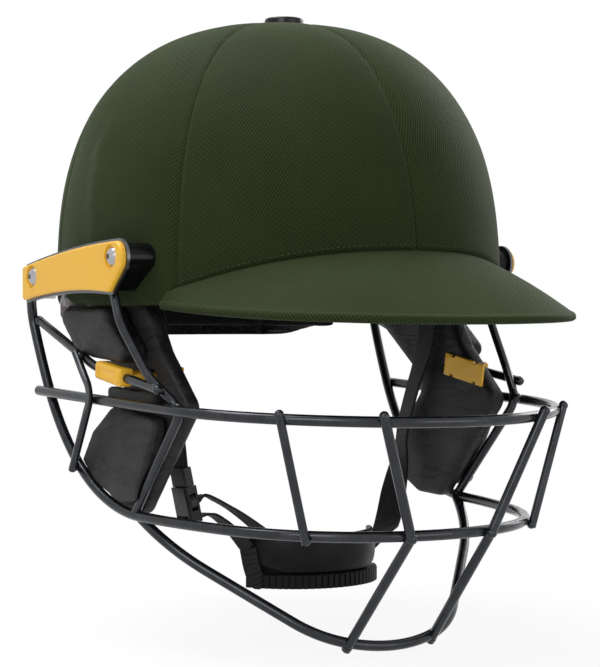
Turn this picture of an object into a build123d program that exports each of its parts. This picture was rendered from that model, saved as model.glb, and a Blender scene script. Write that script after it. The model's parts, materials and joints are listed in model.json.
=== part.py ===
from build123d import *
import os
from math import atan, cos, degrees, hypot, pi, radians, sin

# Cricket helmet: a cloth-covered shell with a peak, a welded wire face guard,
# padded cheek guards and a chin strap with a side-release buckle.
# Millimetres. +X is the wearer's left, -Y is forward, +Z is up.
# The origin is in the middle of the head opening, level with the shell's side rim.

os.makedirs("parts", exist_ok=True)

# Shell and dome
shell_half_width = 102.8
shell_front_reach = 114.2
shell_rear_reach = 130.8
crown_rise = 130.8
equator_height = 9.0
dome_foot = -20.0
shell_wall = 3.2
side_bow_share = 2.6
front_bow_share = 2.22
rear_bow_share = 2.5
rear_plan_bow_share = 2.3
top_ring_share = 0.998
ring_spans = 6
dome_ring_shares = [0.0, 0.34, 0.62, 0.82, 0.93, 0.98, top_ring_share]

# Rim of the shell in the side view
rim_front_height = 12.0
rim_front_corner = 80.0
rim_side_height = 0.0
rim_side_front = 46.0
rim_side_rear = 58.0
rim_rear_corner = 96.0
rim_rear_height = -14.0
rim_blend = 22.0
overrun = 60.0

# Cloth cap
cloth_thickness = 1.1
cloth_gap = 0.15
seam_gap = 0.3
cap_panels = 6
button_clear_radius = 3.0

# Peak
peak_centre_setback = -20.0
peak_half_width = 99.6
peak_reach = 144.0
peak_plan_share = 2.9
peak_root_half_width = 92.0
peak_root_reach = 88.0
peak_sweep_angle = 73.0
peak_stations = 11
peak_thickness = 4.4
peak_root_height = 26.0
peak_edge_side_height = 3.0
peak_edge_drop = 9.5
peak_camber = 1.8
peak_cloth = 1.05
peak_board_gap = 0.05

# Crown button
button_radius = 8.2
button_height = 4.2
button_side = 1.6
stud_radius = 2.0
stud_clearance = 0.2
crown_nut_radius = 5.0
crown_nut_height = 3.0
nut_recess_clearance = 0.8

# Foam liner and comfort pads
liner_gap = 0.3
liner_thickness = 14.0
liner_side_height = 6.0
liner_front_height = 13.0
liner_rear_height = -16.0
comfort_thickness = 6.0
comfort_gap = 0.2
brow_pad_low = 15.0
brow_pad_high = 46.0
brow_pad_back = -46.0
rear_pad_low = -12.0
rear_pad_high = 28.0
rear_pad_front = 62.0
temple_pad_low = 27.0
temple_pad_high = 74.0
temple_pad_front = -34.0
temple_pad_back = 40.0
crown_pad_radius = 40.0

# Side plates, blocks and screws
plate_inner_face = 110.8
backing_thickness = 1.5
cover_plate_thickness = 2.6
cover_rim = 1.3
cover_edge_round = 1.1
plate_length = 110.0
plate_height = 30.2
plate_rear = 66.0
plate_low = 1.0
plate_corner = 3.0
block_inset = 2.0
block_front_length = 36.0
block_rear_length = 24.0
block_web_height = 8.0
block_seat_gap = 0.1
screw_radius = 2.5
screw_clearance = 0.1
screw_head_radius = 4.4
screw_head_height = 2.2
screw_socket_radius = 1.5
screw_socket_depth = 1.2
screw_recess_radius = 5.6
screw_recess_depth = 0.9
nut_seat_gap = 0.05
front_screw_y = -31.8
front_screw_z = 22.6
rear_screw_y = 53.4
rear_screw_z = 14.4
side_nut_radius = 6.0
side_nut_inner_face = 90.2

# Wire guard
bar_radius = 2.5
centre_wire_radius = 2.3
outer_wire_radius = 2.0
cheek_wire_radius = 2.2
side_wire_radius = 1.9
guard_half_width = 108.0
guard_reach = 158.0
guard_drop = 102.6
upper_bar_drop = 45.0
upper_bar_slope_share = 0.0383
lower_bar_drop = 99.1
lower_bar_slope_share = 0.0245
chin_bar_half_width = 93.7
chin_bar_depth = 96.5
chin_bar_slope_share = 0.769
chin_bar_rear = -20.2
chin_bar_top = -99.6
cheek_corner_radius = 7.0
cheek_bend_radius = 45.0
diagonal_bend_radius = 60.0
side_bend_radius = 9.0
upright_bend_radius = 8.0

# Cheek guards
core_inner_face = 83.4
core_outer_face = 92.7
upper_pad_outer_face = 106.8
middle_pad_outer_face = 98.6
lower_pad_outer_face = 100.2
pad_gap = 0.3
wire_gap = 0.35
pad_length = 76.0
pad_depth = 100.0
core_edge_inner = 3.2
core_edge_outer = 1.6
outer_pad_edge = 3.0
core_corner = 7.0
outer_pad_corner = 5.0
middle_pad_edge = 1.5

# Pad clips
clip_place_share = 0.37
clip_length = 32.0
clip_height = 8.4
clip_inner_face = 99.4
clip_outer_face = 109.4
clip_edge = 1.0
stem_setback = 8.0
retainer_setback = 17.0
stem_length = 13.0
stem_height = 3.6
stem_gap = 0.3
retainer_inner_face = 81.4
retainer_length = 34.0
retainer_height = 11.0
retainer_thickness = 1.6
retainer_notch = 3.0
retainer_notch_depth = 2.0

# Chin strap
webbing_width = 14.0
webbing_thickness = 1.3
strap_side = 80.5
strap_drop = 133.0
eye_length = 15.0
cup_strap_width = 10.0
pivot_y = -14.0
pivot_z = 13.0
rivet_radius = 2.0
rivet_running_gap = 0.1
rivet_head_radius = 4.2
rivet_head_thickness = 1.0
rivet_head_gap = 0.5

# Buckle
buckle_x = -69.5
buckle_y = -20.0
buckle_z = -86.8
buckle_lean_in_share = 0.185
buckle_lean_front_share = -0.062
housing_width = 14.5
housing_thickness = 7.0
housing_length = 17.6
housing_edge = 1.4
cavity_width = 11.6
cavity_thickness = 4.2
cavity_depth = 12.4
window_start = 3.4
window_length = 8.4
window_height = 3.6
strap_bar_width = 11.0
strap_bar_slot = 2.0
strap_bar_inset = 1.8
insert_width = 14.5
insert_thickness = 5.0
insert_length = 9.0
insert_gap = 0.25
guide_width = 2.4
guide_length = 11.0
prong_width = 1.8
prong_thickness = 3.2
prong_offset = 4.2
prong_head_radius = 3.6
prong_head_out = 7.8
prong_head_centre = 7.6
prong_root_radius = 1.2
prong_root_gap = 0.08
prong_root_along = -1.8
prong_slot_width = 4.4

# Chin cup
cup_radius = 41.0
cup_centre_y = -9.0
cup_wall = 3.0
cup_top = -111.0
cup_height = 19.0
cup_half_angle = 66.0
cup_taper = 7.0
cup_bulge = 1.5
cup_flat_share = 0.55
cup_edge = 1.2
cup_liner_wall = 4.0
cup_liner_gap = 0.1
cup_liner_top = -114.0
cup_liner_height = 23.0
cup_liner_lip = 2.4
cup_rib_width = 0.9
cup_rib_depth = 0.8
cup_ribs = 30


def bow_share(rise_share, bow):
    """How much of its full reach the dome keeps at a share of its rise."""
    return (1 - abs(rise_share) ** bow) ** (1 / bow)


def dome_ring(level, skin):
    """Left half of the dome's plan outline at one height, from front to rear."""
    rise_share = (level - equator_height) / (crown_rise + skin)
    side = (shell_half_width + skin) * bow_share(rise_share, side_bow_share)
    front = (shell_front_reach + skin) * bow_share(rise_share, front_bow_share)
    rear = (shell_rear_reach + skin) * bow_share(rise_share, rear_bow_share)
    ring = [(0, -front)]
    for step in range(1, ring_spans):
        turn = pi * (step / ring_spans - 1 / 2)
        behind = turn > 0
        power = 2 / rear_plan_bow_share if behind else 1
        reach = rear if behind else -front
        ring.append((side * cos(turn) ** power, reach * abs(sin(turn)) ** power))
    ring.append((0, rear))
    return ring


def crown_height(skin):
    """Height of the dome's flat top for one skin."""
    return equator_height + top_ring_share * (crown_rise + skin)


def dome_form(skin):
    """Solid dome grown outwards by skin, down to the dome's foot."""
    levels = [dome_foot]
    for share in dome_ring_shares:
        levels.append(equator_height + share * (crown_rise + skin))
    with BuildPart() as half:
        for level in levels:
            ring = dome_ring(level, skin)
            with BuildSketch(Plane.XY.offset(level)):
                with BuildLine():
                    Spline(ring, tangents=[(1, 0), (-1, 0)])
                    Line(ring[-1], ring[0])
                make_face()
        loft()
    with BuildPart() as form:
        add(half.part)
        mirror(half.part, about=Plane.YZ)
    return form.part


def rim_form(front, side, rear):
    """Everything below a rim line drawn in the side view."""
    far = shell_rear_reach + overrun
    deep = dome_foot - overrun
    with BuildPart() as form:
        with BuildSketch(Plane.YZ) as profile:
            with BuildLine():
                Polyline(
                    (-far, deep),
                    (-far, front),
                    (-rim_front_corner, front),
                    (-rim_side_front, side),
                    (rim_side_rear, side),
                    (rim_rear_corner, rear),
                    (far, rear),
                    (far, deep),
                    close=True,
                )
            make_face()
            inner = profile.vertices().filter_by_position(Axis.X, -rim_front_corner, rim_rear_corner)
            fillet(inner, radius=rim_blend)
        extrude(amount=shell_half_width + overrun, both=True)
    return form.part


def peak_plane(angle):
    """Upright plane through the peak's centre, turned from straight ahead."""
    turn = radians(angle)
    return Plane(
        origin=(0, peak_centre_setback, 0),
        x_dir=(sin(turn), -cos(turn), 0),
        z_dir=(-cos(turn), -sin(turn), 0),
    )


def polar_reach(angle, half_width, reach, power):
    """Distance from the peak's centre to an oval outline at one angle."""
    turn = radians(angle)
    total = (abs(sin(turn)) / half_width) ** power + (cos(turn) / reach) ** power
    return total ** (-1 / power)


def peak_form(inset):
    """The peak's solid, drawn in all round by inset, running into the dome."""
    half = peak_thickness / 2 - inset
    sweep_angle = peak_sweep_angle - degrees(inset / peak_half_width)
    with BuildPart() as form:
        for station in range(peak_stations):
            angle = sweep_angle * (2 * station / (peak_stations - 1) - 1)
            ahead = cos(radians(angle))
            root = polar_reach(angle, peak_root_half_width, peak_root_reach, 2)
            root_z = peak_root_height * ahead
            edge = polar_reach(angle, peak_half_width, peak_reach, peak_plan_share)
            edge = edge - inset - half
            edge_z = peak_edge_side_height - peak_edge_drop * ahead
            middle = (root + edge) / 2
            middle_z = (root_z + edge_z) / 2 + peak_camber
            with BuildSketch(peak_plane(angle)):
                with BuildLine():
                    ThreePointArc((root, root_z + half), (middle, middle_z + half), (edge, edge_z + half))
                    ThreePointArc((edge, edge_z + half), (edge + half, edge_z), (edge, edge_z - half))
                    ThreePointArc((edge, edge_z - half), (middle, middle_z - half), (root, root_z - half))
                    Line((root, root_z - half), (root, root_z + half))
                make_face()
        loft()
    return form.part


def below_peak_form():
    """Everything under the peak's middle, which the cap's cloth leaves bare."""
    with BuildPart() as form:
        for station in range(peak_stations):
            angle = peak_sweep_angle * (2 * station / (peak_stations - 1) - 1)
            ahead = cos(radians(angle))
            root = polar_reach(angle, peak_root_half_width, peak_root_reach, 2)
            root_z = peak_root_height * ahead
            edge_z = peak_edge_side_height - peak_edge_drop * ahead
            edge = polar_reach(angle, peak_half_width, peak_reach, peak_plan_share)
            with BuildSketch(peak_plane(angle)):
                with BuildLine():
                    Polyline(
                        (root, root_z),
                        (edge, edge_z),
                        (edge, dome_foot - overrun),
                        (root, dome_foot - overrun),
                        close=True,
                    )
                make_face()
        loft(ruled=True)
    return form.part


def lay_wire(route, radius, mode=Mode.ADD):
    """Sweep a round wire along a route into the piece being made."""
    with BuildSketch(Plane(origin=route @ 0, z_dir=route % 0)) as section:
        Circle(radius)
    sweep(sections=section.sketch, path=route, mode=mode)


def arc_route(points, tangent):
    """Join points by arcs, each leaving in the direction that the last arrived."""
    with BuildLine() as route:
        for start, end in zip(points, points[1:]):
            arc = TangentArc(start, end, tangent=tangent)
            tangent = arc % 1
    return route.wire()


def bent_route(points, radii):
    """Straight runs joined by bends."""
    with BuildLine() as route:
        FilletPolyline(points, radius=radii)
    return route.wire()


def guard_point(x_share, y_share, z_share):
    """A point of the guard, in shares of its half width, reach and drop."""
    return (x_share * guard_half_width, y_share * guard_reach, z_share * guard_drop)


def guard_points(shares):
    """Points of the guard from a table of shares."""
    return [guard_point(*share) for share in shares]


def pad_points(shares):
    """Side-view points of a cheek pad, in shares of its length and depth."""
    return [(y_share * pad_length, z_share * pad_depth) for y_share, z_share in shares]


def plate_points(shares):
    """Side-view points of the side plate, from its rear lower corner."""
    points = []
    for y_share, z_share in shares:
        points.append((plate_rear - y_share * plate_length, plate_low + z_share * plate_height))
    return points


def finish(piece, name):
    """Label a finished piece and write it."""
    piece.part.label = name
    export_step(piece.part, f"parts/{name}.step")


def finish_pair(left_piece, name):
    """Write a left-hand piece and its mirrored right-hand twin."""
    finish(left_piece, f"left_{name}")
    with BuildPart() as right_piece:
        mirror(left_piece.part, about=Plane.YZ)
    finish(right_piece, f"right_{name}")


# Forms that several pieces share
cloth_skin = cloth_gap + cloth_thickness
liner_skin = -shell_wall - liner_gap
head_skin = liner_skin - liner_thickness
shell_form = dome_form(0)
cloth_form = dome_form(cloth_skin)
peak_outer_form = peak_form(0)
screw_places = [(front_screw_y, front_screw_z), (rear_screw_y, rear_screw_z)]
cover_face = plate_inner_face + backing_thickness + cover_plate_thickness

# Outer shell
with BuildPart() as outer_shell:
    add(shell_form)
    add(dome_form(-shell_wall), mode=Mode.SUBTRACT)
    add(rim_form(rim_front_height, rim_side_height, rim_rear_height), mode=Mode.SUBTRACT)
    with BuildSketch(Plane.XY.offset(crown_height(-shell_wall) - overrun / 2)):
        Circle(stud_radius + stud_clearance)
    extrude(amount=overrun, mode=Mode.SUBTRACT)
    with BuildSketch(Plane.YZ.offset(-shell_half_width - overrun)):
        with Locations(screw_places):
            Circle(screw_radius + screw_clearance)
        with Locations((pivot_y, pivot_z)):
            Circle(rivet_radius + screw_clearance)
    extrude(amount=2 * (shell_half_width + overrun), mode=Mode.SUBTRACT)
finish(outer_shell, "outer_shell")

# Cloth cap in six panels
with BuildPart() as cap_layer:
    add(cloth_form)
    add(dome_form(cloth_gap), mode=Mode.SUBTRACT)
    add(rim_form(rim_front_height, rim_side_height, rim_rear_height), mode=Mode.SUBTRACT)
    add(peak_outer_form, mode=Mode.SUBTRACT)
    add(below_peak_form(), mode=Mode.SUBTRACT)
    with BuildSketch(Plane.XY.offset(crown_height(0) - overrun / 2)):
        Circle(button_clear_radius)
    extrude(amount=overrun, mode=Mode.SUBTRACT)
    with BuildSketch(Plane.YZ.offset(-shell_half_width - overrun)):
        with Locations(screw_places):
            Circle(screw_radius + screw_clearance)
    extrude(amount=2 * (shell_half_width + overrun), mode=Mode.SUBTRACT)

panel_names = ["left_front_panel", "left_side_panel", "left_rear_panel",
               "right_rear_panel", "right_side_panel", "right_front_panel"]
panel_angle = 2 * pi / cap_panels
panel_reach = shell_rear_reach + overrun
for number, panel_name in enumerate(panel_names):
    start = -pi / 2 + number * panel_angle
    middle = start + panel_angle / 2
    tip_x = seam_gap * cos(middle)
    tip_y = seam_gap * sin(middle)
    with BuildPart() as panel:
        add(cap_layer.part)
        with BuildSketch(Plane.XY.offset(dome_foot - overrun)):
            with BuildLine():
                Polyline(
                    (tip_x, tip_y),
                    (tip_x + panel_reach * cos(start), tip_y + panel_reach * sin(start)),
                    (tip_x + 2 * panel_reach * cos(middle), tip_y + 2 * panel_reach * sin(middle)),
                    (
                        tip_x + panel_reach * cos(start + panel_angle),
                        tip_y + panel_reach * sin(start + panel_angle),
                    ),
                    close=True,
                )
            make_face()
        extrude(amount=crown_rise + 2 * overrun + equator_height, mode=Mode.INTERSECT)
    finish(panel, panel_name)

# Peak board and its cloth cover
with BuildPart() as peak_board:
    add(peak_form(peak_cloth + peak_board_gap))
    add(shell_form, mode=Mode.SUBTRACT)
finish(peak_board, "peak_board")

with BuildPart() as peak_cover:
    add(peak_outer_form)
    add(peak_form(peak_cloth), mode=Mode.SUBTRACT)
    add(shell_form, mode=Mode.SUBTRACT)
finish(peak_cover, "peak_cover")

# Crown button with its stud, and the nut under the shell
button_base = crown_height(cloth_skin)
nut_foot = crown_height(-shell_wall) - crown_nut_height
with BuildPart() as crown_button:
    with BuildSketch(Plane.XZ):
        with BuildLine():
            Polyline(
                (0, button_base + button_height),
                (0, nut_foot),
                (stud_radius, nut_foot),
                (stud_radius, button_base),
                (button_radius, button_base),
                (button_radius, button_base + button_side),
            )
            TangentArc((0, button_base + button_height), (button_radius, button_base + button_side),
                       tangent=(1, 0))
        make_face()
    revolve(axis=Axis.Z)
finish(crown_button, "crown_button")

with BuildPart() as crown_nut:
    with BuildSketch(Plane.XY.offset(nut_foot)):
        RegularPolygon(crown_nut_radius, 6)
        Circle(stud_radius, mode=Mode.SUBTRACT)
    extrude(amount=crown_nut_height)
finish(crown_nut, "crown_nut")

# Foam liner
with BuildPart() as impact_liner:
    add(dome_form(liner_skin))
    add(dome_form(head_skin), mode=Mode.SUBTRACT)
    add(rim_form(liner_front_height, liner_side_height, liner_rear_height), mode=Mode.SUBTRACT)
    with BuildSketch(Plane.XY.offset(nut_foot - nut_recess_clearance)):
        Circle(crown_nut_radius + nut_recess_clearance)
    extrude(amount=overrun, mode=Mode.SUBTRACT)
    with BuildSketch(Plane.YZ.offset(-shell_half_width - overrun)):
        with Locations((pivot_y, pivot_z)):
            Circle(rivet_radius + stud_clearance)
    extrude(amount=2 * (shell_half_width + overrun), mode=Mode.SUBTRACT)
    for side in (-1, 1):
        with BuildSketch(Plane.YZ.offset(side * (side_nut_inner_face - nut_recess_clearance))):
            with Locations(screw_places):
                Circle(side_nut_radius + nut_recess_clearance)
        extrude(amount=side * overrun, mode=Mode.SUBTRACT)
finish(impact_liner, "impact_liner")

# Comfort pads on the liner
with BuildPart() as comfort_layer:
    add(dome_form(head_skin - comfort_gap))
    add(dome_form(head_skin - comfort_gap - comfort_thickness), mode=Mode.SUBTRACT)

with BuildPart() as brow_pad:
    add(comfort_layer.part)
    with BuildSketch(Plane.YZ):
        with Locations((brow_pad_back, brow_pad_low)):
            Rectangle(overrun + shell_front_reach, brow_pad_high - brow_pad_low,
                      align=(Align.MAX, Align.MIN))
    extrude(amount=shell_half_width, both=True, mode=Mode.INTERSECT)
finish(brow_pad, "brow_pad")

with BuildPart() as rear_pad:
    add(comfort_layer.part)
    with BuildSketch(Plane.YZ):
        with Locations((rear_pad_front, rear_pad_low)):
            Rectangle(overrun + shell_rear_reach, rear_pad_high - rear_pad_low,
                      align=(Align.MIN, Align.MIN))
    extrude(amount=shell_half_width, both=True, mode=Mode.INTERSECT)
finish(rear_pad, "rear_pad")

with BuildPart() as temple_pad:
    add(comfort_layer.part)
    with BuildSketch(Plane.YZ):
        with BuildLine():
            FilletPolyline(
                (temple_pad_front, temple_pad_low),
                (temple_pad_back, temple_pad_low),
                (temple_pad_back, temple_pad_high),
                (temple_pad_front, temple_pad_high),
                close=True,
                radius=comfort_thickness,
            )
        make_face()
    extrude(amount=shell_half_width, mode=Mode.INTERSECT)
finish_pair(temple_pad, "temple_pad")

with BuildPart() as crown_pad:
    add(comfort_layer.part)
    with BuildSketch(Plane.XY.offset(temple_pad_high)):
        Circle(crown_pad_radius)
    extrude(amount=crown_rise, mode=Mode.INTERSECT)
finish(crown_pad, "crown_pad")

# Side plate outline, shares of the plate's length from the rear and of its height from below
plate_rear_low_share = (0.0, 0.0)
plate_mid_low_share = (0.47, 0.157)
plate_front_low_share = (0.865, 0.125)
plate_nose_low_share = (0.988, 0.53)
plate_nose_tip_share = (1.0, 0.74)
plate_nose_top_share = (0.93, 0.995)
plate_mid_top_share = (0.52, 0.90)
plate_rear_top_share = (0.0, 0.64)


def plate_outline(inset):
    """Face of the side plate in the side view, drawn in by inset."""
    rear_low, mid_low, front_low, nose_low, nose_tip, nose_top, mid_top, rear_top = plate_points([
        plate_rear_low_share, plate_mid_low_share, plate_front_low_share, plate_nose_low_share,
        plate_nose_tip_share, plate_nose_top_share, plate_mid_top_share, plate_rear_top_share,
    ])
    with BuildSketch(Plane.YZ) as outline:
        with BuildLine():
            ThreePointArc(rear_low, mid_low, front_low)
            Line(front_low, nose_low)
            ThreePointArc(nose_low, nose_tip, nose_top)
            ThreePointArc(nose_top, mid_top, rear_top)
            Line(rear_top, rear_low)
        make_face()
        fillet(outline.vertices(), radius=plate_corner)
        if inset > 0:
            offset(amount=-inset, mode=Mode.REPLACE)
    return outline.sketch


def side_holes(radius):
    """Round faces at the two screw places in the side view."""
    with BuildSketch(Plane.YZ) as holes:
        with Locations(screw_places):
            Circle(radius)
    return holes.sketch


def push_out(face, start, end, mode=Mode.ADD):
    """Extrude a side-view face from one distance off the middle to another."""
    extrude(face.moved(Location((start, 0, 0))), amount=end - start, dir=(1, 0, 0), mode=mode)


# Guard routes, as shares of the guard's half width, reach and drop
upper_bar_shares = [(0.0, -0.997), (0.387, -0.934), (0.712, -0.763), (0.938, -0.405), (0.993, 0.386)]
lower_bar_shares = [(0.0, -0.883), (0.315, -0.845), (0.574, -0.731), (0.770, -0.506), (0.875, -0.158)]
sweep_run_shares = [(0.357, -0.747), (0.520, -0.415), (0.611, -0.107)]
sweep_top_share = (1.005, 0.423, 0.040)
sweep_end_share = (1.005, 0.402, 0.120)
cheek_wire_shares = [(1.007, -0.130, 0.125), (1.007, -0.190, -0.080), (0.965, -0.312, -0.320),
                     (0.893, -0.421, -0.465), (0.882, -0.127, -0.950)]
diagonal_shares = [(0.963, 0.430, -0.070), (0.968, 0.030, -0.284), (0.968, -0.377, -0.375)]
side_wire_shares = [(1.005, 0.108, -0.223), (1.022, -0.022, -0.412), (0.971, 0.180, -0.785)]
outer_upright_shares = [(0.739, -0.779, -0.462), (0.588, -0.755, -1.024)]
centre_upright_shares = [(0.411, -0.962, -0.468), (0.206, -0.893, -1.006), (0.222, -0.582, -1.552)]
chin_bar_shares = [(0.0, 1.0), (0.258, 0.955), (0.491, 0.790), (0.800, 0.405), (1.0, 0.0)]


def tilted_points(shares, level, slope):
    """Points of a bar that lies in a plane sloping from front to rear."""
    points = []
    for x_share, y_share in shares:
        y = y_share * guard_reach
        points.append((x_share * guard_half_width, y, level + slope * y))
    return points


def upper_bar_route():
    """Half of the upper bar, from the middle back to its left end."""
    points = tilted_points(upper_bar_shares, -upper_bar_drop, upper_bar_slope_share)
    return arc_route(points, (1, 0, 0))


def lower_bar_route():
    """Half of the lower bar: the front loop, then the sweep up to the side plate."""
    loop = tilted_points(lower_bar_shares, -lower_bar_drop, lower_bar_slope_share)
    with BuildLine() as route:
        tangent = Vector(1, 0, 0)
        for start, end in zip(loop, loop[1:]):
            arc = TangentArc(start, end, tangent=tangent)
            tangent = arc % 1
        foot = Vector(loop[-1])
        heading = Vector(tangent.X, tangent.Y, 0).normalized()
        stops = []
        for along_share, z_share in sweep_run_shares:
            stop = foot + heading * (along_share * guard_reach)
            stops.append(Vector(stop.X, stop.Y, z_share * guard_drop))
        stops.append(guard_point(*sweep_top_share))
        stops.append(guard_point(*sweep_end_share))
        start = foot
        for end in stops:
            arc = TangentArc(start, end, tangent=tangent)
            tangent = arc % 1
            start = end
    return route.wire()


def chin_bar_route():
    """Half of the chin bar, on a plane that drops towards the front."""
    ahead = hypot(1, chin_bar_slope_share)
    points = []
    for x_share, depth_share in chin_bar_shares:
        depth = depth_share * chin_bar_depth / ahead
        points.append((
            x_share * chin_bar_half_width,
            chin_bar_rear - depth,
            chin_bar_top - chin_bar_slope_share * depth,
        ))
    return arc_route(points, (1, 0, 0))


def straight_route(points):
    """One straight run."""
    with BuildLine() as route:
        Line(*points)
    return route.wire()


upper_route = upper_bar_route()
lower_route = lower_bar_route()
chin_route = chin_bar_route()
cheek_points = guard_points(cheek_wire_shares)
cheek_route = bent_route(cheek_points, [cheek_bend_radius, cheek_bend_radius, cheek_corner_radius])
diagonal_points = guard_points(diagonal_shares)
diagonal_route = bent_route(diagonal_points, [diagonal_bend_radius])
side_route = bent_route(guard_points(side_wire_shares), [side_bend_radius])
outer_route = straight_route(guard_points(outer_upright_shares))
centre_route = bent_route(guard_points(centre_upright_shares), [upright_bend_radius])


# Space outside the inner face of the left side plate, where welded wires are flattened
with BuildPart() as beyond_plate:
    with BuildSketch(Plane.YZ.offset(plate_inner_face)):
        Rectangle(2 * overrun + guard_reach, 2 * overrun + guard_drop)
    extrude(amount=overrun)


def make_bar(route):
    """Both halves of a bar that crosses in front of the face."""
    with BuildPart() as half:
        lay_wire(route, bar_radius)
        add(beyond_plate.part, mode=Mode.SUBTRACT)
    with BuildPart() as whole:
        add(half.part)
        mirror(half.part, about=Plane.YZ)
    return whole


# Bars of the guard
lower_bar = make_bar(lower_route)
finish(lower_bar, "lower_bar")

upper_bar = make_bar(upper_route)
with BuildPart() as coped_upper_bar:
    add(upper_bar.part)
    add(lower_bar.part, mode=Mode.SUBTRACT)
finish(coped_upper_bar, "upper_bar")

chin_bar = make_bar(chin_route)
with BuildPart() as coped_chin_bar:
    add(chin_bar.part)
    add(lower_bar.part, mode=Mode.SUBTRACT)
finish(coped_chin_bar, "chin_bar")


def make_wire(route, radius, crossed):
    """A shorter wire, coped where it is welded to the pieces that it crosses."""
    with BuildPart() as wire:
        lay_wire(route, radius)
        for piece in crossed:
            add(piece.part, mode=Mode.SUBTRACT)
        add(beyond_plate.part, mode=Mode.SUBTRACT)
    return wire


# Uprights in front of the bars
centre_upright = make_wire(centre_route, centre_wire_radius, [upper_bar, lower_bar, chin_bar])
finish_pair(centre_upright, "centre_upright")

outer_upright = make_wire(outer_route, outer_wire_radius, [upper_bar, lower_bar])
finish_pair(outer_upright, "outer_upright")

# Wires at the cheeks
cheek_wire = make_wire(cheek_route, cheek_wire_radius, [upper_bar, lower_bar])
finish_pair(cheek_wire, "cheek_wire")

diagonal_wire = make_wire(diagonal_route, cheek_wire_radius, [lower_bar, cheek_wire])
finish_pair(diagonal_wire, "diagonal_wire")

side_wire = make_wire(side_route, side_wire_radius, [upper_bar, lower_bar, diagonal_wire])
finish_pair(side_wire, "side_wire")

# Room that the left-hand wires need in pads and blocks
with BuildPart() as wire_room:
    lay_wire(lower_route, bar_radius + wire_gap)
    lay_wire(upper_route, bar_radius + wire_gap)
    lay_wire(cheek_route, cheek_wire_radius + wire_gap)
    lay_wire(diagonal_route, cheek_wire_radius + wire_gap)
    lay_wire(side_route, side_wire_radius + wire_gap)

# Spacer block between the shell and the side plate
block_front = plate_rear - plate_length + block_inset + block_front_length
block_back = plate_rear - block_inset - block_rear_length
block_web_front = plate_low + plate_nose_top_share[1] * plate_height - block_inset - block_web_height
block_web_back = plate_low + plate_rear_top_share[1] * plate_height - block_web_height
screw_holes = side_holes(screw_radius + screw_clearance)
with BuildPart() as side_block:
    push_out(plate_outline(block_inset), shell_half_width / 2, plate_inner_face)
    with BuildSketch(Plane.YZ.offset(shell_half_width / 2)) as opening:
        with BuildLine():
            Polyline(
                (block_front, plate_low - overrun),
                (block_front, block_web_front),
                (block_back, block_web_back),
                (block_back, plate_low - overrun),
                close=True,
            )
        make_face()
        fillet(opening.vertices().group_by(Axis.Z)[-1], radius=plate_corner)
    extrude(amount=shell_half_width, mode=Mode.SUBTRACT)
    add(dome_form(cloth_skin + block_seat_gap), mode=Mode.SUBTRACT)
    add(wire_room.part, mode=Mode.SUBTRACT)
    push_out(screw_holes, shell_half_width / 2, plate_inner_face, Mode.SUBTRACT)
finish_pair(side_block, "side_block")

# Steel backing plate that the wires are welded to
backing_face = plate_inner_face + backing_thickness
with BuildPart() as backing_plate:
    push_out(plate_outline(0), plate_inner_face, backing_face)
    push_out(screw_holes, plate_inner_face, backing_face, Mode.SUBTRACT)
finish_pair(backing_plate, "backing_plate")

# Coloured cover plate
with BuildPart() as cover_plate:
    push_out(plate_outline(cover_rim), backing_face, cover_face)
    fillet(cover_plate.faces().sort_by(Axis.X)[-1].edges(), radius=cover_edge_round)
    push_out(side_holes(screw_recess_radius), cover_face - screw_recess_depth, cover_face, Mode.SUBTRACT)
    push_out(screw_holes, backing_face, cover_face, Mode.SUBTRACT)
finish_pair(cover_plate, "cover_plate")

# Screws and captive nuts of both sides
head_seat = cover_face - screw_recess_depth
with BuildPart() as left_screws:
    for place_y, place_z in screw_places:
        with BuildSketch(Plane(origin=(0, place_y, place_z), x_dir=(1, 0, 0), z_dir=(0, 0, 1))):
            with BuildLine():
                Line((side_nut_inner_face, 0), (head_seat + screw_head_height, 0))
                TangentArc((head_seat + screw_head_height, 0), (head_seat, screw_head_radius),
                           tangent=(0, 1))
                Polyline(
                    (head_seat, screw_head_radius),
                    (head_seat, screw_radius),
                    (side_nut_inner_face, screw_radius),
                    (side_nut_inner_face, 0),
                )
            make_face()
        revolve(axis=Axis((0, place_y, place_z), (1, 0, 0)))
    with BuildSketch(Plane.YZ.offset(head_seat + screw_head_height - screw_socket_depth)):
        with Locations(screw_places):
            RegularPolygon(screw_socket_radius, 6)
    extrude(amount=screw_head_height, mode=Mode.SUBTRACT)
with BuildPart() as side_screws:
    add(left_screws.part)
    mirror(left_screws.part, about=Plane.YZ)
finish(side_screws, "side_screws")

with BuildPart() as left_nuts:
    add(dome_form(-shell_wall - nut_seat_gap))
    with BuildSketch(Plane.YZ.offset(side_nut_inner_face)):
        with Locations(screw_places):
            Circle(side_nut_radius)
            Circle(screw_radius, mode=Mode.SUBTRACT)
    extrude(amount=shell_half_width, mode=Mode.INTERSECT)
with BuildPart() as side_nuts:
    add(left_nuts.part)
    mirror(left_nuts.part, about=Plane.YZ)
finish(side_nuts, "side_nuts")

# Cheek pad outlines, shares of the pad's length and depth
core_shares = [(-0.29, 0.050), (-0.50, -0.200), (-0.87, -0.470), (-0.24, -1.000), (0.03, -0.990),
               (0.45, -0.830), (-0.05, -0.410), (0.50, -0.090), (0.53, 0.050)]
upper_pad_shares = [(-0.12, -0.008), (-0.14, -0.060), (-0.50, -0.285), (0.28, -0.245), (0.50, -0.090),
                    (0.55, -0.008)]
middle_pad_shares = [(0.06, -0.385), (0.06, -0.455), (-0.57, -0.475), (-0.57, -0.405)]
lower_pad_shares = [(-0.02, -0.480), (-0.66, -0.520), (-0.36, -0.930), (-0.14, -0.945), (0.22, -0.866),
                    (0.43, -0.795), (0.24, -0.605)]

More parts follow.
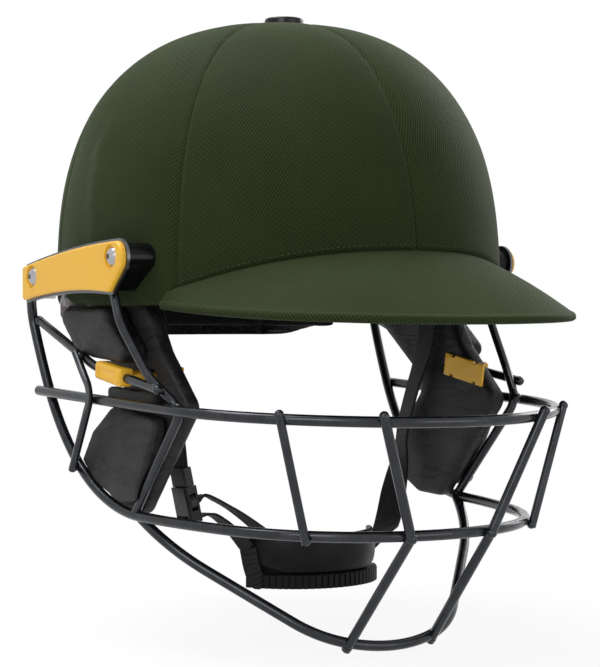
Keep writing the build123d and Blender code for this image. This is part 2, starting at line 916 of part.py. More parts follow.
# Clip frame: along the diagonal wire's front run
diagonal_run = Vector(diagonal_points[-1]) - Vector(diagonal_points[-2])
clip_middle = Vector(diagonal_points[-2]) + diagonal_run * clip_place_share
clip_slope = degrees(atan(diagonal_run.Z / diagonal_run.Y))
stem_middle = (clip_middle.Y - stem_setback, clip_middle.Z)
retainer_middle = (clip_middle.Y - retainer_setback, clip_middle.Z)


def side_bar(inner, outer, middle, length, height, corner, mode=Mode.ADD):
    """Upright slab with rounded corners, seen in the side view along the clip's slope."""
    with BuildSketch(Plane.YZ.offset(inner)) as slab:
        with Locations(Location((middle[0], middle[1], 0), (0, 0, clip_slope))):
            RectangleRounded(length, height, corner)
    extrude(slab.sketch, amount=outer - inner, mode=mode)


def make_pad(shares, corner, inner, outer, inner_edge, outer_edge):
    """Cushion with rounded corners and edges, before it makes room for wires."""
    with BuildPart() as pad:
        with BuildSketch(Plane.YZ.offset(inner)) as outline:
            with BuildLine():
                Polyline(pad_points(shares), close=True)
            make_face()
            fillet(outline.vertices(), radius=corner)
        extrude(amount=outer - inner)
        fillet(pad.faces().sort_by(Axis.X)[-1].edges(), radius=outer_edge)
        if inner_edge > 0:
            fillet(pad.faces().sort_by(Axis.X)[0].edges(), radius=inner_edge)
    return pad


def make_room(pad):
    """Cut the wires, the clip and its neighbours' room out of a pad."""
    with BuildPart() as cut_pad:
        add(pad.part)
        add(wire_room.part, mode=Mode.SUBTRACT)
        clip_room_length = clip_length + 2 * pad_gap
        clip_room_height = clip_height + 2 * pad_gap
        side_bar(clip_inner_face - pad_gap, clip_outer_face + pad_gap, (clip_middle.Y, clip_middle.Z),
                 clip_room_length, clip_room_height, clip_edge, Mode.SUBTRACT)
        side_bar(core_inner_face - core_edge_inner, clip_inner_face, stem_middle,
                 stem_length + 2 * stem_gap, stem_height + 2 * stem_gap, clip_edge, Mode.SUBTRACT)
    return cut_pad


core_form = make_pad(core_shares, core_corner, core_inner_face, core_outer_face,
                     core_edge_inner, core_edge_outer)
cheek_pad = make_room(core_form)
finish_pair(cheek_pad, "cheek_pad")

outer_face_start = core_outer_face + pad_gap
upper_pad = make_room(make_pad(upper_pad_shares, outer_pad_corner, outer_face_start,
                               upper_pad_outer_face, 0, outer_pad_edge))
finish_pair(upper_pad, "upper_outer_pad")

middle_pad = make_room(make_pad(middle_pad_shares, outer_pad_edge, outer_face_start,
                                middle_pad_outer_face, 0, middle_pad_edge))
finish_pair(middle_pad, "middle_outer_pad")

lower_pad = make_room(make_pad(lower_pad_shares, outer_pad_corner, outer_face_start,
                               lower_pad_outer_face, 0, outer_pad_edge))
finish_pair(lower_pad, "lower_outer_pad")

# Clip hooked over the diagonal wire, with its stem through the pad
with BuildPart() as pad_clip:
    side_bar(clip_inner_face, clip_outer_face, (clip_middle.Y, clip_middle.Z),
             clip_length, clip_height, clip_edge)
    fillet(pad_clip.faces().sort_by(Axis.X)[-1].edges(), radius=clip_edge)
    side_bar(retainer_inner_face + retainer_thickness, clip_inner_face, stem_middle,
             stem_length, stem_height, clip_edge)
    add(make_wire(diagonal_route, cheek_wire_radius, []).part, mode=Mode.SUBTRACT)
    add(cheek_wire.part, mode=Mode.SUBTRACT)
finish_pair(pad_clip, "pad_clip")

# Notched plate on the inner face that holds the stem
with BuildPart() as clip_plate:
    side_bar(retainer_inner_face, retainer_inner_face + retainer_thickness, retainer_middle,
             retainer_length, retainer_height, clip_edge)
    with BuildSketch(Plane.YZ.offset(retainer_inner_face)):
        with Locations(Location((retainer_middle[0], retainer_middle[1], 0), (0, 0, clip_slope))):
            with Locations((0, retainer_height / 2), (0, -retainer_height / 2)):
                RectangleRounded(retainer_notch, 2 * retainer_notch_depth, clip_edge)
    extrude(amount=retainer_thickness, mode=Mode.SUBTRACT)
finish_pair(clip_plate, "clip_plate")

# Buckle frame: x across the strap, y through its thickness, z down along it
buckle_plane = Plane(
    origin=(buckle_x, buckle_y, buckle_z),
    x_dir=(0, -1, 0),
    z_dir=(buckle_lean_in_share, buckle_lean_front_share, -1),
)


def buckle_point(across, through, along):
    """A place in the buckle's frame, in the part's frame."""
    return buckle_plane.from_local_coords(Vector(across, through, along))


def radial_plane(place, heading):
    """Cross-section plane of a strap that faces away from the middle of the jaw."""
    outward = Vector(place.X, place.Y - pivot_y, 0)
    return Plane(origin=place, x_dir=heading.cross(outward), z_dir=heading)


def strap_form(places, width, start_heading):
    """Flat webbing through a row of places."""
    sections = []
    for number, place in enumerate(places):
        before = places[max(number - 1, 0)]
        after = places[min(number + 1, len(places) - 1)]
        heading = start_heading if number == 0 else after - before
        with BuildSketch(radial_plane(place, heading)) as section:
            Rectangle(width, webbing_thickness)
        sections.append(section.sketch)
    loft(sections=sections)


def strap_places(shares, side):
    """Places of a strap, in shares of its height from the rivet and of its side distance."""
    places = []
    for x_share, y_share, z_share in shares:
        places.append(Vector(
            side * x_share * strap_side,
            pivot_y + y_share * strap_drop,
            pivot_z + z_share * strap_drop,
        ))
    return places


def strap_eye(side):
    """Flat rounded end of a strap with the hole for its rivet."""
    with BuildSketch(Plane.YZ.offset(side * strap_side)) as eye:
        with Locations((pivot_y, pivot_z)):
            Circle(webbing_width / 2)
            Rectangle(webbing_width, eye_length, align=(Align.CENTER, Align.MAX))
            Circle(rivet_radius + rivet_running_gap, mode=Mode.SUBTRACT)
    extrude(eye.sketch, amount=webbing_thickness / 2, both=True)


# Straps, shares of the side distance and of the drop from the rivet to the chin
left_strap_shares = [(0.982, 0.010, -0.250), (0.971, 0.083, -0.421), (0.955, 0.132, -0.571),
                     (0.920, 0.128, -0.700), (0.850, 0.105, -0.812), (0.690, 0.015, -0.935),
                     (0.500, -0.095, -1.0)]
right_strap_shares = [(0.982, -0.008, -0.220), (0.949, -0.019, -0.361), (0.908, -0.032, -0.522)]
upper_web_shares = [(0.716, -0.022, -0.790), (0.655, -0.065, -0.806), (0.547, -0.120, -0.857),
                    (0.426, -0.172, -0.925)]
lower_web_shares = [(0.660, -0.030, -0.860), (0.570, -0.085, -0.915), (0.480, -0.110, -0.985)]
tail_shares = [(0.462, -0.122, -1.060), (0.424, -0.140, -1.128)]

# Chin cup, a curved shell under the chin
cup_axis = Axis((0, cup_centre_y, 0), (0, 0, 1))
cup_start_plane = Plane(
    origin=(0, cup_centre_y, 0),
    x_dir=(-sin(radians(cup_half_angle)), -cos(radians(cup_half_angle)), 0),
    z_dir=(-cos(radians(cup_half_angle)), sin(radians(cup_half_angle)), 0),
)
cup_low = cup_top - cup_height
cup_middle = (cup_top + cup_low) / 2
cup_inner_radius = cup_radius - cup_wall
with BuildPart() as chin_cup:
    with BuildSketch(cup_start_plane) as profile:
        with BuildLine():
            ThreePointArc((cup_radius - cup_bulge, cup_top), (cup_radius, cup_middle),
                          (cup_radius - cup_bulge, cup_low))
            Line((cup_radius - cup_bulge, cup_low), (cup_inner_radius - cup_bulge, cup_low))
            ThreePointArc((cup_inner_radius - cup_bulge, cup_low), (cup_inner_radius, cup_middle),
                          (cup_inner_radius - cup_bulge, cup_top))
            Line((cup_inner_radius - cup_bulge, cup_top), (cup_radius - cup_bulge, cup_top))
        make_face()
        fillet(profile.vertices(), radius=cup_edge)
    revolve(axis=cup_axis, revolution_arc=2 * cup_half_angle)
    with BuildSketch(Plane.XZ.offset(-cup_centre_y)) as end_trim:
        with BuildLine():
            Polyline(
                (cup_radius, cup_low + cup_taper),
                (cup_radius * cup_flat_share, cup_low),
                (-cup_radius * cup_flat_share, cup_low),
                (-cup_radius, cup_low + cup_taper),
                (-cup_radius, cup_top),
                (cup_radius, cup_top),
                close=True,
            )
        make_face()
    extrude(amount=cup_radius + overrun, both=True, mode=Mode.INTERSECT)
finish(chin_cup, "chin_cup")

cup_liner_outer = cup_inner_radius - cup_bulge - cup_liner_gap
cup_liner_low = cup_liner_top - cup_liner_height
lip_top = cup_low - cup_liner_gap
lip_radius = cup_radius + cup_liner_lip - cup_bulge
with BuildPart() as chin_cup_liner:
    with BuildSketch(cup_start_plane) as profile:
        with BuildLine():
            Polyline(
                (cup_liner_outer, cup_liner_top),
                (cup_liner_outer, lip_top),
                (lip_radius, lip_top),
                (lip_radius, cup_liner_low),
                (cup_liner_outer - cup_liner_wall, cup_liner_low),
                (cup_liner_outer - cup_liner_wall, cup_liner_top),
                close=True,
            )
        make_face()
        fillet(profile.vertices().sort_by(Axis.Z)[0:2], radius=cup_edge)
    revolve(axis=cup_axis, revolution_arc=2 * cup_half_angle)
    rib_pitch = 2 * cup_half_angle / cup_ribs
    with BuildSketch(Plane(origin=(0, cup_centre_y, cup_liner_low))):
        with PolarLocations(lip_radius, cup_ribs - 1, start_angle=270 - cup_half_angle + rib_pitch,
                            angular_range=2 * (cup_half_angle - rib_pitch), endpoint=True):
            Rectangle(2 * cup_rib_depth, cup_rib_width)
    extrude(amount=lip_top - cup_liner_low, mode=Mode.SUBTRACT)
finish(chin_cup_liner, "chin_cup_liner")

# Buckle housing, open at the top with a window at each side for the prongs
with BuildPart() as buckle_housing:
    with BuildSketch(buckle_plane):
        RectangleRounded(housing_width, housing_thickness, housing_edge)
    extrude(amount=housing_length)
    fillet(buckle_housing.faces().sort_by(Axis(buckle_plane.origin, buckle_plane.z_dir))[-1].edges(),
           radius=housing_edge / 2)
    with BuildSketch(buckle_plane):
        Rectangle(cavity_width, cavity_thickness)
    extrude(amount=cavity_depth, mode=Mode.SUBTRACT)
    with BuildSketch(buckle_plane.offset(window_start)):
        Rectangle(2 * housing_width, window_height)
    extrude(amount=window_length, mode=Mode.SUBTRACT)
    with BuildSketch(buckle_plane.offset(housing_length - strap_bar_inset - strap_bar_slot)):
        Rectangle(strap_bar_width, 2 * housing_thickness)
    extrude(amount=strap_bar_slot, mode=Mode.SUBTRACT)
finish(buckle_housing, "buckle_housing")

# Buckle insert: the block at the strap's end with its guide tongue
with BuildPart() as buckle_insert:
    with BuildSketch(buckle_plane.offset(-insert_gap - insert_length)):
        RectangleRounded(insert_width, insert_thickness, housing_edge)
    extrude(amount=insert_length)
    with BuildSketch(buckle_plane.offset(-insert_gap)):
        Rectangle(guide_width, prong_thickness)
    extrude(amount=guide_length + insert_gap)
    with BuildSketch(buckle_plane.offset(-insert_gap - prong_root_radius)):
        with Locations((prong_offset, 0), (-prong_offset, 0)):
            Rectangle(prong_slot_width, prong_thickness + 2 * prong_root_gap)
    extrude(amount=prong_root_radius, mode=Mode.SUBTRACT)
    for side in (-1, 1):
        with BuildSketch(Plane(
            origin=buckle_point(side * prong_offset, 0, prong_root_along),
            x_dir=buckle_plane.x_dir,
            z_dir=buckle_plane.y_dir,
        )):
            Circle(prong_root_radius + prong_root_gap)
        extrude(amount=prong_thickness / 2 + prong_root_gap, both=True, mode=Mode.SUBTRACT)
finish(buckle_insert, "buckle_insert")


def make_prong(side):
    """Springy arm with a bulging thumb head, hinged at its root."""
    face_plane = Plane(
        origin=buckle_point(0, 0, 0),
        x_dir=buckle_plane.x_dir * side,
        z_dir=buckle_plane.x_dir.cross(buckle_plane.z_dir) * side,
    )
    arm_inner = prong_offset - prong_width / 2
    with BuildPart() as prong:
        with BuildSketch(face_plane):
            with Locations((prong_offset, prong_root_along)):
                Circle(prong_root_radius)
            with Locations((prong_offset, prong_root_along)):
                Rectangle(prong_width, prong_head_centre - prong_root_along,
                          align=(Align.CENTER, Align.MIN))
            with Locations((prong_head_out - prong_head_radius, prong_head_centre)):
                Circle(prong_head_radius)
            with Locations((arm_inner, prong_head_centre)):
                Rectangle(housing_width, 4 * prong_head_radius, align=(Align.MAX, Align.CENTER),
                          mode=Mode.SUBTRACT)
        extrude(amount=prong_thickness / 2, both=True)
    return prong


front_prong = make_prong(1)
finish(front_prong, "front_prong")
rear_prong = make_prong(-1)
finish(rear_prong, "rear_prong")

# Straps
with BuildPart() as left_strap:
    eye_end = Vector(strap_side, pivot_y, pivot_z - eye_length)
    strap_form([eye_end] + strap_places(left_strap_shares, 1), webbing_width, Vector(0, 0, -1))
    strap_eye(1)
    add(chin_cup.part, mode=Mode.SUBTRACT)
    add(chin_cup_liner.part, mode=Mode.SUBTRACT)
finish(left_strap, "left_strap")

insert_top = buckle_point(0, 0, -insert_gap - insert_length)
with BuildPart() as right_strap:
    eye_end = Vector(-strap_side, pivot_y, pivot_z - eye_length)
    right_places = [eye_end] + strap_places(right_strap_shares, -1) + [insert_top]
    strap_form(right_places, webbing_width, Vector(0, 0, -1))
    strap_eye(-1)
    add(buckle_insert.part, mode=Mode.SUBTRACT)
finish(right_strap, "right_strap")

web_start = buckle_point(0, -housing_thickness / 2, housing_length - strap_bar_inset)
with BuildPart() as cup_straps:
    upper_places = strap_places(upper_web_shares, -1)
    lower_places = [web_start] + strap_places(lower_web_shares, -1) + strap_places(tail_shares, -1)
    strap_form(upper_places, cup_strap_width, upper_places[1] - upper_places[0])
    strap_form(lower_places, cup_strap_width, lower_places[1] - lower_places[0])
    for carrier in (buckle_housing, chin_cup, chin_cup_liner):
        add(carrier.part, mode=Mode.SUBTRACT)
finish(cup_straps, "cup_straps")

# Rivets that the straps swing on
rivet_head_top = strap_side - webbing_thickness / 2 - rivet_head_gap
with BuildPart() as rivet:
    with BuildSketch(Plane.YZ.offset(rivet_head_top - rivet_head_thickness)):
        with Locations((pivot_y, pivot_z)):
            Circle(rivet_head_radius)
    extrude(amount=rivet_head_thickness)
    with BuildSketch(Plane.YZ.offset(rivet_head_top - rivet_head_thickness)):
        with Locations((pivot_y, pivot_z)):
            Circle(rivet_radius)
    extrude(amount=shell_half_width)
    add(shell_form, mode=Mode.INTERSECT)
with BuildPart() as strap_rivets:
    add(rivet.part)
    mirror(rivet.part, about=Plane.YZ)
finish(strap_rivets, "strap_rivets")
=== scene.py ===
import bpy
import json
from math import asin, atan2, copysign, cos, degrees, exp, hypot, pi, radians, sin, sqrt
from mathutils import Matrix, Vector, noise
from mathutils.bvhtree import BVHTree


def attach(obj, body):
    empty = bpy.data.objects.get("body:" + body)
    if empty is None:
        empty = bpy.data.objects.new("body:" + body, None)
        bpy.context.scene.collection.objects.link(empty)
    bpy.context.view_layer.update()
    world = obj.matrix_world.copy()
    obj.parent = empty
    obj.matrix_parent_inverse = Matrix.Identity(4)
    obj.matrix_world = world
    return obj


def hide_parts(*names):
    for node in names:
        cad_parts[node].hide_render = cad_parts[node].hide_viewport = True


# Cricket helmet seen from its right front. Metres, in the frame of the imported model:
# +X is the wearer's left, -Y is forward, +Z is up. Sizes of pieces are in millimetres, times MM.

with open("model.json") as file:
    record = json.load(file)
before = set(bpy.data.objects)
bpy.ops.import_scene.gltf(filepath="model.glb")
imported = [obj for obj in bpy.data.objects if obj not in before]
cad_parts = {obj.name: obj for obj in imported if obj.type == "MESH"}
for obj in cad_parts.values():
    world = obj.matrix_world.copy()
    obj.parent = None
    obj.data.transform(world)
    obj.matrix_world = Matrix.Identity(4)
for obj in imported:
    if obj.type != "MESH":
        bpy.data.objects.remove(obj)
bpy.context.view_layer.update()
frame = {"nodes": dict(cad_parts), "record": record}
nodes = frame["nodes"]
MM = 0.001
SIDES = {"left": 1.0, "right": -1.0}


# Camera, light and floor

TARGET = Vector((0.0, -0.015, -0.014))
TURN = radians(32.584)
RISE = radians(0.75)
DISTANCE = 1.0
FOCAL_LENGTH = 107.946
SENSOR_WIDTH = 36.0
CLIP_START = 0.01
FLOOR_HEIGHT = -0.1625
FLOOR_SIZE = 9.0
FLOOR_TONE = 0.9
SHADOW_NEAR, SHADOW_FAR = 0.12, 0.42
SHADOW_WHITE = 0.91
AMBIENT = 0.27
WHITE = (1.0, 1.0, 1.0, 1.0)
LAMPS = {
    "top_lamp": ((-0.35, 0.3, 1.45), 1.1, 30.0),
    "key_lamp": ((-1.3, -1.1, 0.7), 0.8, 9.0),
    "front_lamp": ((0.5, -1.5, 0.15), 0.9, 4.4),
    "rim_lamp": ((1.4, 0.4, 0.6), 0.7, 6.0),
}
back = Vector((-sin(TURN) * cos(RISE), -cos(TURN) * cos(RISE), sin(RISE)))


def place_camera():
    """Camera at the photograph's viewing angle."""
    bpy.ops.object.camera_add(location=TARGET + back * DISTANCE)
    camera = bpy.context.object
    camera.name = "view_camera"
    camera.rotation_euler = back.to_track_quat("Z", "Y").to_euler()
    camera.data.lens = FOCAL_LENGTH
    camera.data.sensor_width = SENSOR_WIDTH
    camera.data.sensor_fit = "AUTO"
    camera.data.clip_start = CLIP_START
    bpy.context.scene.camera = camera


def place_lamps():
    """Soft square lamps aimed at the helmet."""
    for name, (place, size, power) in LAMPS.items():
        bpy.ops.object.light_add(type="AREA", location=place)
        lamp = bpy.context.object
        lamp.name = name
        lamp.data.size = size
        lamp.data.energy = power
        lamp.rotation_euler = (Vector(place) - TARGET).to_track_quat("Z", "Y").to_euler()


def fill(tree, node, inputs):
    """Feed a node's sockets with values or links."""
    for key, value in inputs.items():
        if isinstance(value, bpy.types.NodeSocket):
            tree.links.new(value, node.inputs[key])
        else:
            node.inputs[key].default_value = value


def put(tree, kind, inputs=(), **settings):
    """Add a shader node, set its options and feed its sockets."""
    node = tree.nodes.new("ShaderNode" + kind)
    for key, value in settings.items():
        setattr(node, key, value)
    fill(tree, node, dict(inputs))
    return node


def calc(tree, operation, first, second=0.0, third=0.0):
    """One sum on up to three values or links."""
    return put(tree, "Math", {0: first, 1: second, 2: third}, operation=operation).outputs[0]


def seen_directly(tree):
    """1 for rays from the camera, from a reflection or through glass."""
    rays = put(tree, "LightPath").outputs
    seen = calc(tree, "MAXIMUM", rays["Is Camera Ray"], rays["Is Glossy Ray"])
    return calc(tree, "MAXIMUM", seen, rays["Is Transmission Ray"])


def make_world():
    """White where it is seen or mirrored, and a soft even light elsewhere."""
    world = bpy.data.worlds.new("studio")
    bpy.context.scene.world = world
    world.use_nodes = True
    tree = world.node_tree
    tree.nodes.clear()
    soft = put(tree, "Background", {"Color": WHITE, "Strength": AMBIENT})
    white = put(tree, "Background", {"Color": WHITE, "Strength": 1.0})
    mix = put(tree, "MixShader", {0: seen_directly(tree), 1: soft.outputs[0], 2: white.outputs[0]})
    put(tree, "OutputWorld", {"Surface": mix.outputs[0]})


def new_mesh(name, operator, **settings):
    """New piece from an operator that adds a mesh."""
    bpy.ops.object.select_all(action="DESELECT")
    operator(**settings)
    piece = bpy.context.object
    piece.name = name
    return piece


def make_floor():
    """Wide pale floor just under the guard."""
    floor = new_mesh("floor", bpy.ops.mesh.primitive_plane_add, size=FLOOR_SIZE,
                     location=(0.0, 0.0, FLOOR_HEIGHT))
    material = bpy.data.materials.new("pale_floor")
    material.use_nodes = True
    tree = material.node_tree
    tree.nodes.clear()
    matt = put(tree, "BsdfDiffuse", {"Color": (FLOOR_TONE, FLOOR_TONE, FLOOR_TONE, 1.0)})
    glow = put(tree, "Emission", {"Strength": 1.0})
    place = put(tree, "TexCoord").outputs["Object"]
    reach = put(tree, "VectorMath", {0: place}, operation="LENGTH").outputs["Value"]
    fade = put(tree, "MapRange", {"Value": reach, "From Min": SHADOW_NEAR, "From Max": SHADOW_FAR,
                                  "To Min": SHADOW_WHITE}, interpolation_type="SMOOTHSTEP")
    part = calc(tree, "MULTIPLY", seen_directly(tree), fade.outputs["Result"])
    mix = put(tree, "MixShader", {0: part, 1: matt.outputs[0], 2: glow.outputs[0]})
    put(tree, "OutputMaterial", {"Surface": mix.outputs[0]})
    floor.data.materials.append(material)


place_camera()
make_world()
make_floor()
place_lamps()
bpy.context.scene.view_settings.view_transform = "Standard"


# Shared surface effects

def start_group(name, **values):
    """Node group that takes a vector and named values; returns its tree, the vector and all inputs."""
    tree = bpy.data.node_groups.new(name, "ShaderNodeTree")
    tree.interface.new_socket(name="Vector", in_out="INPUT", socket_type="NodeSocketVector")
    for label, value in values.items():
        socket = tree.interface.new_socket(name=label, in_out="INPUT", socket_type="NodeSocketFloat")
        socket.default_value = value
    entry = tree.nodes.new("NodeGroupInput").outputs
    return tree, entry["Vector"], entry


def end_group(tree, **results):
    """Give a node group its outputs; returns its tree."""
    for label in results:
        tree.interface.new_socket(name=label, in_out="OUTPUT", socket_type="NodeSocketFloat")
    fill(tree, tree.nodes.new("NodeGroupOutput"), results)
    return tree


def scaled(tree, vector, factors):
    """A vector stretched along its axes."""
    return put(tree, "Mapping", {"Vector": vector, "Scale": factors}).outputs[0]


def noisy(tree, vector, scale, detail, **more):
    """Cloudy noise on a vector."""
    return put(tree, "TexNoise", {"Vector": vector, "Scale": scale, "Detail": detail, **more}).outputs["Fac"]


def cells(tree, vector, scale, steepness):
    """Rounded cells, 0 along their edges and 1 inside."""
    node = put(tree, "TexVoronoi", {"Vector": vector, "Scale": scale}, feature="DISTANCE_TO_EDGE")
    return calc(tree, "MINIMUM", calc(tree, "MULTIPLY", node.outputs["Distance"], steepness), 1.0)


def make_twill_group():
    """Twill weave on a flat map in metres: diagonal ribs crossed by short thread floats."""
    tree, spot, entry = start_group("twill_weave", Pitch=1.0)
    turned = put(tree, "Mapping", {"Vector": spot, "Rotation": (0.0, 0.0, radians(30.0))})
    parts = put(tree, "SeparateXYZ", {"Vector": turned.outputs[0]}).outputs
    moved = calc(tree, "MULTIPLY", noisy(tree, spot, 420.0, 2.0), 0.00035)
    across = calc(tree, "ADD", parts["X"], moved)
    rate = calc(tree, "DIVIDE", 2 * pi * 1000.0, entry["Pitch"])
    rib = calc(tree, "SINE", calc(tree, "MULTIPLY", across, rate))
    along = calc(tree, "MULTIPLY_ADD", parts["Y"], calc(tree, "MULTIPLY", rate, 0.62),
                 calc(tree, "MULTIPLY", rib, 1.1))
    thread = calc(tree, "MULTIPLY_ADD", calc(tree, "SINE", along), 0.18, 0.82)
    height = calc(tree, "MULTIPLY", calc(tree, "MULTIPLY_ADD", rib, 0.5, 0.5), thread)
    fuzz = noisy(tree, spot, 2600.0, 3.0)
    shade = calc(tree, "MULTIPLY_ADD", fuzz, 0.5, calc(tree, "MULTIPLY", height, 0.75))
    return end_group(tree, Height=calc(tree, "MULTIPLY_ADD", fuzz, 0.35, height), Shade=shade,
                     Cloudy=noisy(tree, spot, 26.0, 5.0, Roughness=0.62))


def make_leather_group():
    """Leather: fine pebbles, and long creases along one direction."""
    tree, spot, entry = start_group("leather_grain", Grain=900.0, Crease=60.0)
    folds = noisy(tree, scaled(tree, spot, (1.0, 0.32, 1.25)), entry["Crease"], 4.0, Distortion=0.7)
    ridge = calc(tree, "ABSOLUTE", calc(tree, "SUBTRACT", folds, 0.5))
    ridge = calc(tree, "MINIMUM", calc(tree, "MULTIPLY", ridge, 14.0), 1.0)
    height = calc(tree, "MULTIPLY_ADD", ridge, 1.3, cells(tree, spot, entry["Grain"], 3.2))
    # Crease is 0 along the creases and 1 between them; the leather material also uses it for painted shade in
    # the creases
    return end_group(tree, Height=height, Crease=ridge, Polish=noisy(tree, spot, 38.0, 4.0))


def make_scuff_group():
    """Handling marks on a hard finish: cloudy polish and a few hair scratches."""
    tree, spot, entry = start_group("scuffs", Size=60.0)
    cloud = noisy(tree, spot, entry["Size"], 6.0, Roughness=0.6)
    lines = noisy(tree, scaled(tree, spot, (0.25, 1.6, 1.0)),
                  calc(tree, "MULTIPLY", entry["Size"], 9.0), 2.0, Distortion=1.2)
    thin = calc(tree, "ABSOLUTE", calc(tree, "SUBTRACT", lines, 0.5))
    thin = calc(tree, "GREATER_THAN", 0.006, thin)
    patch = calc(tree, "GREATER_THAN", cloud, 0.56)
    peel = noisy(tree, spot, calc(tree, "MULTIPLY", entry["Size"], 14.0), 1.0)
    return end_group(tree, Cloud=cloud, Scratch=calc(tree, "MULTIPLY", thin, patch), Peel=peel)


def make_strap_group():
    """Woven strap on a flat map in metres: slanted cross ribs over warp columns."""
    tree, spot = start_group("strap_weave")[:2]
    parts = put(tree, "SeparateXYZ", {"Vector": spot}).outputs
    columns = calc(tree, "SINE", calc(tree, "MULTIPLY", parts["X"], 2 * pi / (1.1 * MM)))
    slant = calc(tree, "MULTIPLY", calc(tree, "ABSOLUTE", columns), 1.6)
    rows = calc(tree, "SINE", calc(tree, "MULTIPLY_ADD", parts["Y"], 2 * pi / (1.0 * MM), slant))
    columns = calc(tree, "MULTIPLY_ADD", columns, 0.25, 0.5)
    height = calc(tree, "MULTIPLY_ADD", rows, 0.3, columns)
    height = calc(tree, "MULTIPLY_ADD", noisy(tree, spot, 3000.0, 2.0), 0.3, height)
    return end_group(tree, Height=height, Shade=calc(tree, "MULTIPLY", height, 0.7))


def make_foam_group():
    """Beads of moulded foam or the nap of brushed cloth."""
    tree, spot, entry = start_group("foam_beads", Bead=420.0)
    edge = cells(tree, spot, entry["Bead"], 5.0)
    nap = noisy(tree, spot, 2200.0, 3.0)
    return end_group(tree, Height=calc(tree, "MULTIPLY_ADD", nap, 0.4, edge), Edge=edge)


GROUPS = {
    "twill": make_twill_group(),
    "leather": make_leather_group(),
    "scuffs": make_scuff_group(),
    "strap": make_strap_group(),
    "foam": make_foam_group(),
}


def start_material(name, effect, inputs, kind="Object", specular=0.5, metal=0.0, sheen=(0.0, 0.5),
                   coat=(0.0, 0.03)):
    """New material with its shader's constants, and an effect on the piece's coordinates or flat map."""
    material = bpy.data.materials.new(name)
    material.use_nodes = True
    tree = material.node_tree
    shader = tree.nodes["Principled BSDF"]
    fill(tree, shader, {"Specular IOR Level": specular, "Metallic": metal,
                        "Sheen Weight": sheen[0], "Sheen Roughness": sheen[1],
                        "Coat Weight": coat[0], "Coat Roughness": coat[1]})
    node = tree.nodes.new("ShaderNodeGroup")
    node.node_tree = GROUPS[effect]
    fill(tree, node, {"Vector": put(tree, "TexCoord").outputs[kind], **inputs})
    return material, tree, shader, node.outputs


def dress(tree, shader, colour, roughness, height, strength, distance):
    """Link colour, roughness and relief to a shader."""
    relief = put(tree, "Bump", {"Height": height, "Strength": strength, "Distance": distance})
    fill(tree, shader, {"Base Color": colour, "Roughness": roughness, "Normal": relief.outputs[0]})


def ramp(tree, value, *stops):
    """Colour ramp through (position, colour) stops."""
    node = put(tree, "ValToRGB", {"Fac": value})
    band = node.color_ramp
    while len(band.elements) < len(stops):
        band.elements.new(0.5)
    for element, (position, colour) in zip(band.elements, stops):
        element.position = position
        element.color = (*colour, 1.0)
    return node.outputs["Color"]


def ranged(tree, value, low, high, start=0.0, end=1.0):
    """Map a mask onto a range."""
    return put(tree, "MapRange", {"Value": value, "From Min": start, "From Max": end,
                                  "To Min": low, "To Max": high}).outputs["Result"]


def make_twill(name, dark, light, pitch):
    """Cotton twill with a soft nap."""
    material, tree, shader, weave = start_material(name, "twill", {"Pitch": pitch}, "UV", specular=0.07,
                                                   sheen=(0.055, 0.45))
    fill(tree, shader, {"Sheen Tint": (0.80, 0.95, 0.64, 1.0)})
    tone = calc(tree, "MULTIPLY_ADD", weave["Cloudy"], 0.5, calc(tree, "SUBTRACT", weave["Shade"], 0.25))
    middle = tuple((a + b) / 2 for a, b in zip(dark, light))
    dress(tree, shader, ramp(tree, tone, (0.1, dark), (0.5, middle), (0.85, light)),
          ranged(tree, weave["Shade"], 0.86, 0.62), weave["Height"], 0.5, 0.00025)
    return material


def make_leather(name, dark, light, grain, creases, depth):
    """Creased leather: painted shade darkens the colour along the creases, and a random polish noise varies
    the colour and the roughness.
    """
    material, tree, shader, skin = start_material(name, "leather", {"Grain": grain, "Crease": creases},
                                                  specular=0.24, coat=(0.03, 0.3))
    # painted shade: the crease mask darkens the colour along the creases; the polish noise lightens it at
    # random
    tone = calc(tree, "MULTIPLY", skin["Polish"], skin["Crease"])
    dress(tree, shader, ramp(tree, tone, (0.15, dark), (0.75, light)),
          ranged(tree, skin["Polish"], 0.36, 0.62, 0.3, 0.7), skin["Height"], 0.55, depth)
    return material


def make_moulded(name, colour, worn, rough, size=60.0, peel=0.00002, **constants):
    """Moulded plastic, painted or bare metal with light handling marks."""
    material, tree, shader, marks = start_material(name, "scuffs", {"Size": size}, **constants)
    tone = calc(tree, "MULTIPLY_ADD", marks["Scratch"], 0.5, calc(tree, "MULTIPLY", marks["Cloud"], 0.6))
    roughness = calc(tree, "MULTIPLY_ADD", marks["Scratch"], 0.15,
                     ranged(tree, marks["Cloud"], rough - 0.07, rough + 0.09, 0.3, 0.7))
    dress(tree, shader, ramp(tree, tone, (0.18, colour), (0.95, worn)), roughness, marks["Peel"], 0.35, peel)
    return material


def make_foam(name, dark, light, bead, depth):
    """Beaded foam or brushed cloth."""
    material, tree, shader, beads = start_material(name, "foam", {"Bead": bead}, specular=0.05,
                                                   sheen=(0.015, 0.5))
    dress(tree, shader, ramp(tree, beads["Edge"], (0.0, dark), (1.0, light)),
          ranged(tree, beads["Edge"], 0.9, 0.68), beads["Height"], 0.6, depth)
    return material


def make_webbing(name, dark, light):
    """Woven strap."""
    material, tree, shader, weave = start_material(name, "strap", {}, "UV", specular=0.25, sheen=(0.04, 0.4))
    dress(tree, shader, ramp(tree, weave["Shade"], (0.15, dark), (0.8, light)),
          ranged(tree, weave["Shade"], 0.8, 0.5), weave["Height"], 0.7, 0.0003)
    return material


